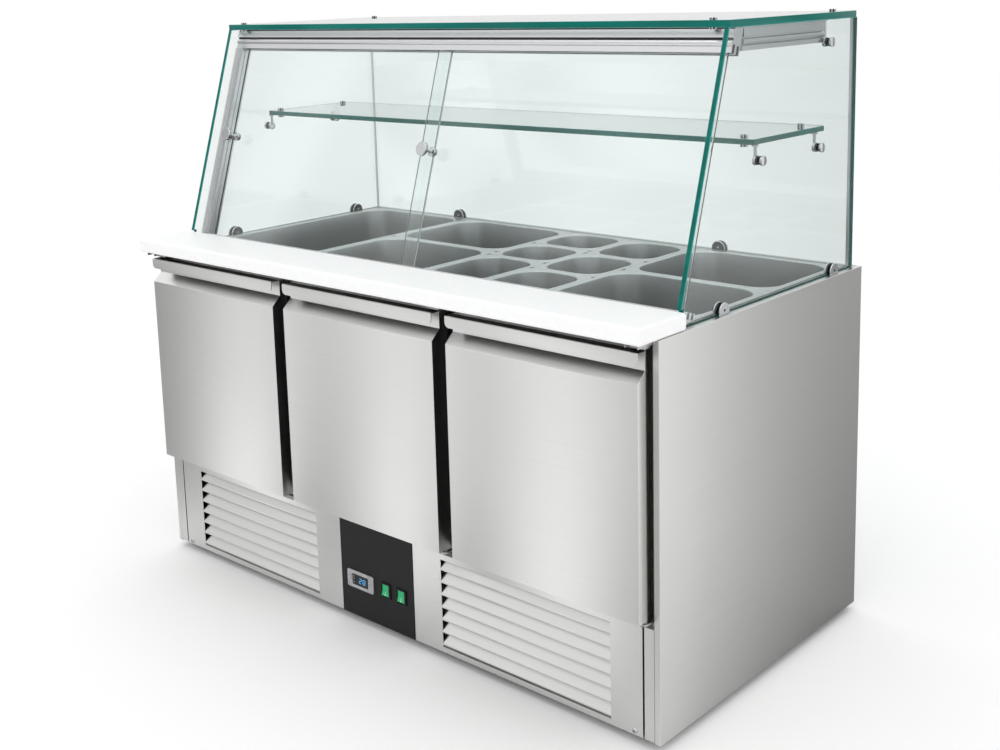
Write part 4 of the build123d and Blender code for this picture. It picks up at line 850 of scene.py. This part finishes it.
def half_disc(origin, axis, radius, thickness, low, edge=0.7):
    """Carry a disc's rim over an arc that ends on the deck, at the given height."""
    axis = np.array(axis, float)
    sideways = np.cross(z_axis, axis)
    start = np.arcsin((low - origin[2]) / radius)
    u = np.linspace(start, pi - start, 33)
    r = np.array((radius - edge, radius, radius, radius - edge))
    h = np.array((0, edge, thickness - edge, thickness))
    height = np.maximum(r[None, :] * np.sin(u)[:, None], low - origin[2])
    aside = r[None, :] * np.cos(u)[:, None]
    points = np.array(origin) + h[None, :, None] * axis + aside[:, :, None] * sideways
    points = points + height[:, :, None] * z_axis
    rows, columns = points.shape[:2]
    ends = [[k * columns + c for k in range(rows)] for c in (0, columns - 1)]
    last = (rows - 1) * columns
    bottom = [[c, c + 1, last + c + 1, last + c] for c in range(columns - 1)]
    return points.reshape(-1, 3), grid(rows, columns) + ends + bottom


metal_shapes, rubber_shapes = [], []
clamps = [((side * pane_in, y), side * x_axis, side_glass) for side in (-1, 1) for y in (-115.0, 277.0)]
clamps += [((x, rear_pane[0]), y_axis, rear_glass) for x in (-368.0, 368.0)]
for (x, y), axis, glass in clamps:
    for out, start in ((1, glass), (-1, 0.0)):
        direction = out * axis
        foot = np.array((x, y, clamp_z)) + start * axis + clear_of_glass * direction
        face = foot + (washer + clamp_disc) * direction
        disc_foot, inlay = foot + washer * direction, face - 0.6 * direction
        rubber_shapes.append(half_disc(foot, direction, clamp_radius - 0.6, washer, deck_z, 0.4))
        metal_shapes.append(half_disc(disc_foot, direction, clamp_radius, clamp_disc, deck_z))
        if out < 0:
            rubber_shapes.append(half_disc(inlay, direction, clamp_radius - 1.6, 0.7, deck_z + 2.2, 0.1))
        bolt = rubber_shapes if out > 0 else metal_shapes
        bolt.append(turned(disc(2.4, -0.5, 0.2, 0.1), face + (0, 0, 2.5), direction, 16))
place(make("half_round_clamps", *joined(metal_shapes), chrome), "cabinet", "fittings", "pane_clamps")
place(make("clamp_washers", *joined(rubber_shapes), black_plastic), "cabinet", "fittings")

print(len(clamps), "clamps")

# %% [markdown]
# A support is two turned discs that grip the side pane through a hole, with a short stem up to the shelf.
# Two more reach up to the top pane.

# %% Shelf supports
metal_shapes, rubber_shapes = [], []
support_radius, support_half, stem_in = 9.0, 7.7, 6.5
carried = [(side, y, 970.0, shelf_z) for side in (-1, 1) for y in (7.0, 218.0)]
carried += [(side, 250.0, 1162.0, glass_top) for side in (-1, 1)]
for side, y, z, carried_z in carried:
    centre = (side * pane_in, y, z)
    outwards = (side, 0, 0)
    inner, outer = -washer - clear_of_glass, side_glass + clear_of_glass
    for start in (inner, outer):
        ring = disc(support_radius - 0.8, start, start + washer, 0.4)
        rubber_shapes.append(turned(ring, centre, outwards, 28))
    for start, end in ((-support_half, inner), (outer + washer, side_glass + support_half)):
        metal_shapes.append(turned(disc(support_radius, start, end, 1.0), centre, outwards))
    reach = carried_z - z - clear_of_glass
    stem = [(0, 0), (3, 0), (3, reach - 3.6), (6, reach - 2.8), (6, reach), (0, reach)]
    metal_shapes.append(turned(stem, (side * (pane_in - stem_in), y, z), z_axis, 24))
supports = make("disc_supports", *joined(metal_shapes), chrome, sharp=40)
place(supports, "cabinet", "fittings", "shelf_supports")
place(make("support_washers", *joined(rubber_shapes), black_rubber, sharp=40), "cabinet", "fittings")

print(len(carried), "supports")

# %% [markdown]
# A stud goes through a level pane. Six bars stand in a circle round a black core, above and below the pane.

# %% Studs
metal_shapes, rubber_shapes = [], []
core_radius, bar_circle, bar_radius = 5.6, 5.5, 1.5
studs = [(side * 630.0, y, glass_top, top_glass, 4.0) for side in (-1, 1) for y in (-82.0, 337.0)]
studs += [(side * 627.0, y, shelf_z, shelf_glass, 6.0) for side in (-1, 1) for y in (14.0, 215.0)]
for x, y, z, glass, tall in studs:
    for out, start in ((1, z + glass), (-1, z)):
        core = disc(core_radius, clear_of_glass, tall - 0.4, 0.3)
        rubber_shapes.append(turned(core, (x, y, start), out * z_axis, 20))
        for angle in np.arange(6) * pi / 3 + pi / 4:
            spot = (x + bar_circle * cos(angle), y + bar_circle * sin(angle), start)
            metal_shapes.append(turned(disc(bar_radius, clear_of_glass, tall, 0.5), spot, out * z_axis, 12))
bars = make("barred_studs", *joined(metal_shapes), chrome, sharp=40)
place(bars, "cabinet", "fittings", "pane_connectors")
place(make("stud_cores", *joined(rubber_shapes), black_plastic, sharp=40), "cabinet", "fittings")

print(len(studs), "studs")

# %% [markdown]
# A knob is turned in one piece, with a foot, a thin neck and a wide disc to grip. A nut holds it from behind.

# %% Knobs
knob_profile = [
    *[(0, 0), (9.2, 0), (10, 0.8), (10, 4.2), (9.2, 5), (4.6, 5.3), (4, 6.2), (3.6, 16), (4, 25.8)],
    *[(4.6, 26.8), (13.0, 27.0), (14, 28.2), (14, 33.6), (12.8, 35), (0, 35)],
]
knob_up = 232.0
for side, x in (("left", -617.7), ("right", 24.0)):
    glass_face = nose_point + (tracks[side] - door_glass / 2) * behind_slant
    glass_face = glass_face + knob_up * along_slant + (x, 0, 0)
    shapes = [turned(knob_profile, glass_face - clear_of_glass * behind_slant, -behind_slant, 44)]
    nut = disc(8.0, door_glass + clear_of_glass, 8.0, 0.6)
    shapes.append(turned(nut, glass_face, behind_slant, 44))
    knob = make(f"turned_knob_{side}", *joined(shapes), chrome, sharp=40)
    place(knob, f"glass_door_{side}", "fittings", f"knob_{side}")
print("knobs with", len(knob_profile), "points in their profile")

# %% [markdown]
# The tracks and posts are aluminium extrusions. An extrusion is one outline along its whole length, so
# each is a prism whose outline has the grooves, beads and door channels. The front track and the side
# rails have a flat band, a groove and a round tube, which show as stripes. The floors of the grooves of
# the front track are black.

# %% Tracks and posts


def slanted(outline, start, end):
    """Carry an outline of (distance behind the slant, distance up it) along X."""
    shape = prism(outline, start, end, behind_slant, along_slant, x_axis)
    return shape[0] + nose_point, shape[1]


rail_low, rail_high_front, rail_high_rear = 438.4, 481.9, 490.8
tube = np.linspace(0, pi, 9)


def banded(face, top):
    """Give the outline of a banded face: groove, flat band, groove, round tube and set-back lip."""
    band = [(3.0, 0.0), (3.0, 3.0), (0.0, 3.6), (0.0, 18.0), (3.5, 18.8), (3.5, 21.0)]
    band += [(5.5 - 5.5 * sin(a), 26.8 - 5.8 * cos(a)) for a in tube]
    band += [(5.0, 33.0), (3.0, 33.6)]
    return [(face + depth, top - drop) for depth, drop in band]


rail_outline = [
    *[(50.0, rail_high_rear), (25.0, rail_high_front)],
    *banded(22.0, rail_high_front)[1:],
    *[(25.0, rail_low), (26.5, rail_low), (26.5, 454.0), (33.5, 454.0), (33.5, rail_low)],
    *[(39.5, rail_low), (39.5, 454.0), (46.5, 454.0), (46.5, rail_low), (50.0, rail_low)],
]
points, faces = slanted(rail_outline, -inside_x, inside_x)
outline = np.array(rail_outline + rail_outline[:1])
steps = np.diff(outline, axis=0)
upright = (abs(steps[:, 0]) < 0.01) & (outline[:-1, 1] > 459)
groove_floor = upright & (outline[:-1, 0] > 24.5) & (outline[:-1, 0] < 26.0)
strips = [*groove_floor.astype(int), 0, 0]
rail = make("front_track", points, faces, anodised, black_rubber, slots=strips, sharp=30)
place(rail, "cabinet", "profiles", "door_rail")

guide_outline = [
    *[(22.0, -25.0), (22.0, 0.0), (26.5, 0.0), (26.5, -12.0), (33.5, -12.0), (33.5, 0.0), (39.5, 0.0)],
    *[(39.5, -12.0), (46.5, -12.0), (46.5, 0.0), (50.0, 0.0), (50.0, -16.8)],
]
shapes = [slanted(guide_outline, -inside_x, inside_x)]
post = [
    *[(27.0, 22.0), (27.0, 28.5), (25.5, 29.0), (25.5, 31.0), (27.0, 31.5), (27.0, 40.0), (7.0, 40.0)],
    *[(7.0, 46.0), (27.0, 46.0), (27.0, 50.0), (0.0, 50.0), (0.0, 22.0)],
]
for edge in (6.0, 12.0, 19.0):
    post += [(edge, 22.0), (edge + 0.3, 23.4), (edge + 1.2, 23.4), (edge + 1.5, 22.0)]
post = [(x - inside_x, n) for x, n in post]
points, faces = prism(post, 0.3, rail_low - 0.4, x_axis, behind_slant, along_slant)
shapes.append((points + nose_point, faces))
bar_rear, bar_low, bar_high, side_rail_low, side_rail_y = 352.7, 723.3, 1203.7, 1161.7, (-43.3, 240.7)
for side, bar_size in ((-1, 3.0), (1, 5.0)):
    bar = sorted((side * (inside_x - bar_size), side * inside_x))
    shapes.append(cuboid(bar, (bar_rear - bar_size, bar_rear), (bar_low, bar_high)))
    band = [(15.0, bar_high), *banded(0.0, bar_high), (3.0, side_rail_low), (15.0, side_rail_low)]
    flat = [(side * (inside_x - x), z) for x, z in band]
    shapes.append(prism(flat, *side_rail_y, x_axis, z_axis, y_axis))
profiles = make("case_extrusions", *joined(shapes), anodised, sharp=30)
place(profiles, "cabinet", "profiles", "case_profiles")
print("extrusions with", len(rail_outline), "points in the track")

# %% [markdown]
# The other pieces keep the imported shapes. Most get the finish of the real one: black plastic feet,
# a painted compressor, aluminium fins, copper lines and coated wire shelves. The mullion trims are
# black, a painted shade of the gaps between the doors.

# %% Finishes of the imported pieces
finishes = {
    # The mullion trims are black as painted shade between the doors.
    black_plastic: ["levelling_feet", "cord_gland", "drip_tray", "mullion_trims"],
    black_paint: ["compressor", "fan_shroud", "fan_motor"],
    pale_plastic: [f"door_core_{door}" for door in door_centres],
    foam: ["cabinet_insulation"],
    brushed_steel: ["inner_liner", "shelf_runners"],
    galvanised: ["base_tray", "electrical_box"],
    fins: ["condenser_coil", "evaporator_coil"],
    anodised: ["fan_blade"],
    copper: ["refrigerant_lines"],
    white_coat: ["wire_shelves"],
}
for material, names in finishes.items():
    for name in names:
        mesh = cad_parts[name].data
        mesh.materials.clear()
        mesh.materials.append(material)
shown = {piece.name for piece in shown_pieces()} & set(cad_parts)
print("packed pieces without a finish:", sorted(shown - set(sum(finishes.values(), []))))

# %% [markdown]
# The studio is a white floor in a white room. Polished steel shows what stands round it, so whatever it
# mirrors is shaded with stripes of grey, as the flags beside a soft box do. The stripes spread like a fan,
# from a fixed point behind the doors and from one behind the right side panel, over the floor and up the
# walls, and close to the cabinet the floor has a darker painted shade. The "Glossy Depth" of a ray says that
# it has been mirrored, and only then does it see the shades.

# %% Shades
front_stops = {
    **{-150: 0.50, -144.7: 0.50, -143.2: 0.80, -141.7: 1.12, -140.2: 1.20, -138.8: 0.76, -137.5: 0.46},
    **{-136.1: 0.42, -135.6: 0.90, -134.5: 1.20, -133.3: 1.16, -132.2: 0.70, -131.2: 0.44, -129.2: 0.40},
    **{-128.8: 0.90, -127.8: 1.20, -126.9: 1.20, -126.1: 0.90, -125.3: 0.56, -124.5: 0.34, -123.7: 0.22},
}
side_stops = {25.9: 0.27, 28.7: 0.39, 30.4: 0.51, 32.2: 0.67, 34.3: 0.98}
room_stops = {-180: 0.90, -152: 0.90, **front_stops, -118: 0.85, 18: 0.90, **side_stops, 40: 1.0, 180: 0.90}
front_stops |= {-180: 0.70, 180: 0.50}
side_stops |= {-180: 0.75, -20: 0.75, 17: 0.68, 23: 0.30, 38: 0.95, 60: 0.85, 180: 0.75}
fan_behind_doors, fan_behind_side = (1.85, 1.32), (-0.49, -2.03)
ceiling, painted_shade_in_front, painted_shade_beside, doors_y = 1.3, 0.78, 0.78, -0.34


def fan_of_light(tree, coords, centre, stops):
    """Give a brightness that changes with the compass angle about a centre."""
    spoke = add(tree, "VectorMath", {0: coords, 1: (*centre, 0)}, operation="SUBTRACT").outputs[0]
    parts = add(tree, "SeparateXYZ", {0: spoke}).outputs
    angle = add(tree, "Math", {0: parts["X"], 1: parts["Y"]}, operation="ARCTAN2").outputs[0]
    share = add(tree, "MapRange", {"Value": angle, "From Min": -pi, "From Max": pi}).outputs[0]
    ramp = add(tree, "ValToRGB", {0: share})
    colours = ramp.color_ramp.elements
    for degrees, light in stops.items():
        ends = {-180: colours[0], 180: colours[-1]}
        stop = ends.get(degrees) or colours.new((degrees + 180) / 360)
        stop.color = (light / 2, light / 2, light / 2, 1)
    return add(tree, "VectorMath", {0: ramp.outputs[0], "Scale": 2.0}, operation="SCALE").outputs[0]


def mixed(tree, share, first, second):
    """Mix two colours by a share."""
    return add(tree, "Mix", {0: share, 6: first, 7: second}, data_type="RGBA").outputs[2]


def grey(light):
    """Give a grey of one brightness."""
    return (light, light, light, 1)


print("fans with", len(front_stops), "and", len(side_stops), "stops")

# %% [markdown]
# The room is a plain white world. Mirrored rays see the stripes, which fade into a bright ceiling.

# %% Room
world = bpy.data.worlds.new("studio")
world.use_nodes = True
tree = world.node_tree
tree.nodes.clear()
coords = add(tree, "TexCoord").outputs["Generated"]
wall = fan_of_light(tree, coords, (0, 0), room_stops)
height = add(tree, "SeparateXYZ", {0: coords}).outputs["Z"]
height = add(tree, "MapRange", {"Value": height, "From Min": 0.2, "From Max": 0.7}).outputs[0]
mirrored = add(tree, "LightPath").outputs["Glossy Depth"]
sky = mixed(tree, mirrored, grey(1.0), mixed(tree, height, wall, grey(ceiling)))
add(tree, "OutputWorld", {"Surface": add(tree, "Background", {"Color": sky}).outputs[0]})
scene.world = world
print("room with", len(room_stops), "stops")

# %% [markdown]
# The floor is a plain white sheet. It rides on no body, so it isn't part of the object.

# %% Floor
far = 15000
floor = make("floor", [(-far, -far, 0), (far, -far, 0), (far, far, 0), (-far, far, 0)], [[0, 1, 2, 3]])
floor_paint, tree, coords = blank("studio floor")
front = fan_of_light(tree, coords, fan_behind_doors, front_stops)
beside = fan_of_light(tree, coords, fan_behind_side, side_stops)
place_on_floor = add(tree, "SeparateXYZ", {0: coords}).outputs
depth = place_on_floor["Y"]
# Close to the cabinet, beside it and in front of the doors, the floor's grey is darker: painted shade.
aside = {"Value": place_on_floor["X"], "From Min": 0.7, "From Max": 1.9, "To Min": painted_shade_beside}
aside = add(tree, "MapRange", aside).outputs[0]
beside = add(tree, "VectorMath", {0: beside, "Scale": aside}, operation="SCALE").outputs[0]
close = add(tree, "MapRange", {"Value": depth, "From Min": -0.62, "From Max": -0.45}).outputs[0]
behind = add(tree, "Math", {0: depth, 1: doors_y}, operation="GREATER_THAN").outputs[0]
shade = mixed(tree, behind, mixed(tree, close, front, grey(painted_shade_in_front)), beside)
mirrored = add(tree, "LightPath").outputs["Glossy Depth"]
paint = mixed(tree, mirrored, grey(1.0), shade)
add(tree, "OutputMaterial", {"Surface": add(tree, "BsdfDiffuse", {"Color": paint}).outputs[0]})
floor.data.materials.append(floor_paint)
print("floor", 2 * far / 1000, "m across")

# %% [markdown]
# Two large and weak area lamps stand for soft boxes, one overhead and one in front. Mirrored rays don't see
# them, because their square shapes would show in the steel.

# %% Lamps
for name, spot, size, power in (
    ("overhead_softbox", (0.0, -0.4, 3.2), 2.6, 12.0),
    ("front_softbox", (1.6, -3.4, 2.4), 1.6, 4.0),
):
    lamp = bpy.data.objects.new(name, bpy.data.lights.new(name, "AREA"))
    lamp.data.size = size
    lamp.data.energy = power
    lamp.visible_glossy = False
    lamp.location = spot
    lamp.rotation_euler = (Vector((0, 0, 0.7)) - Vector(spot)).to_track_quat("-Z", "Y").to_euler()
    scene.collection.objects.link(lamp)
scene.view_settings.view_transform = "Standard"
print("lamps", [light.name for light in bpy.data.lights])
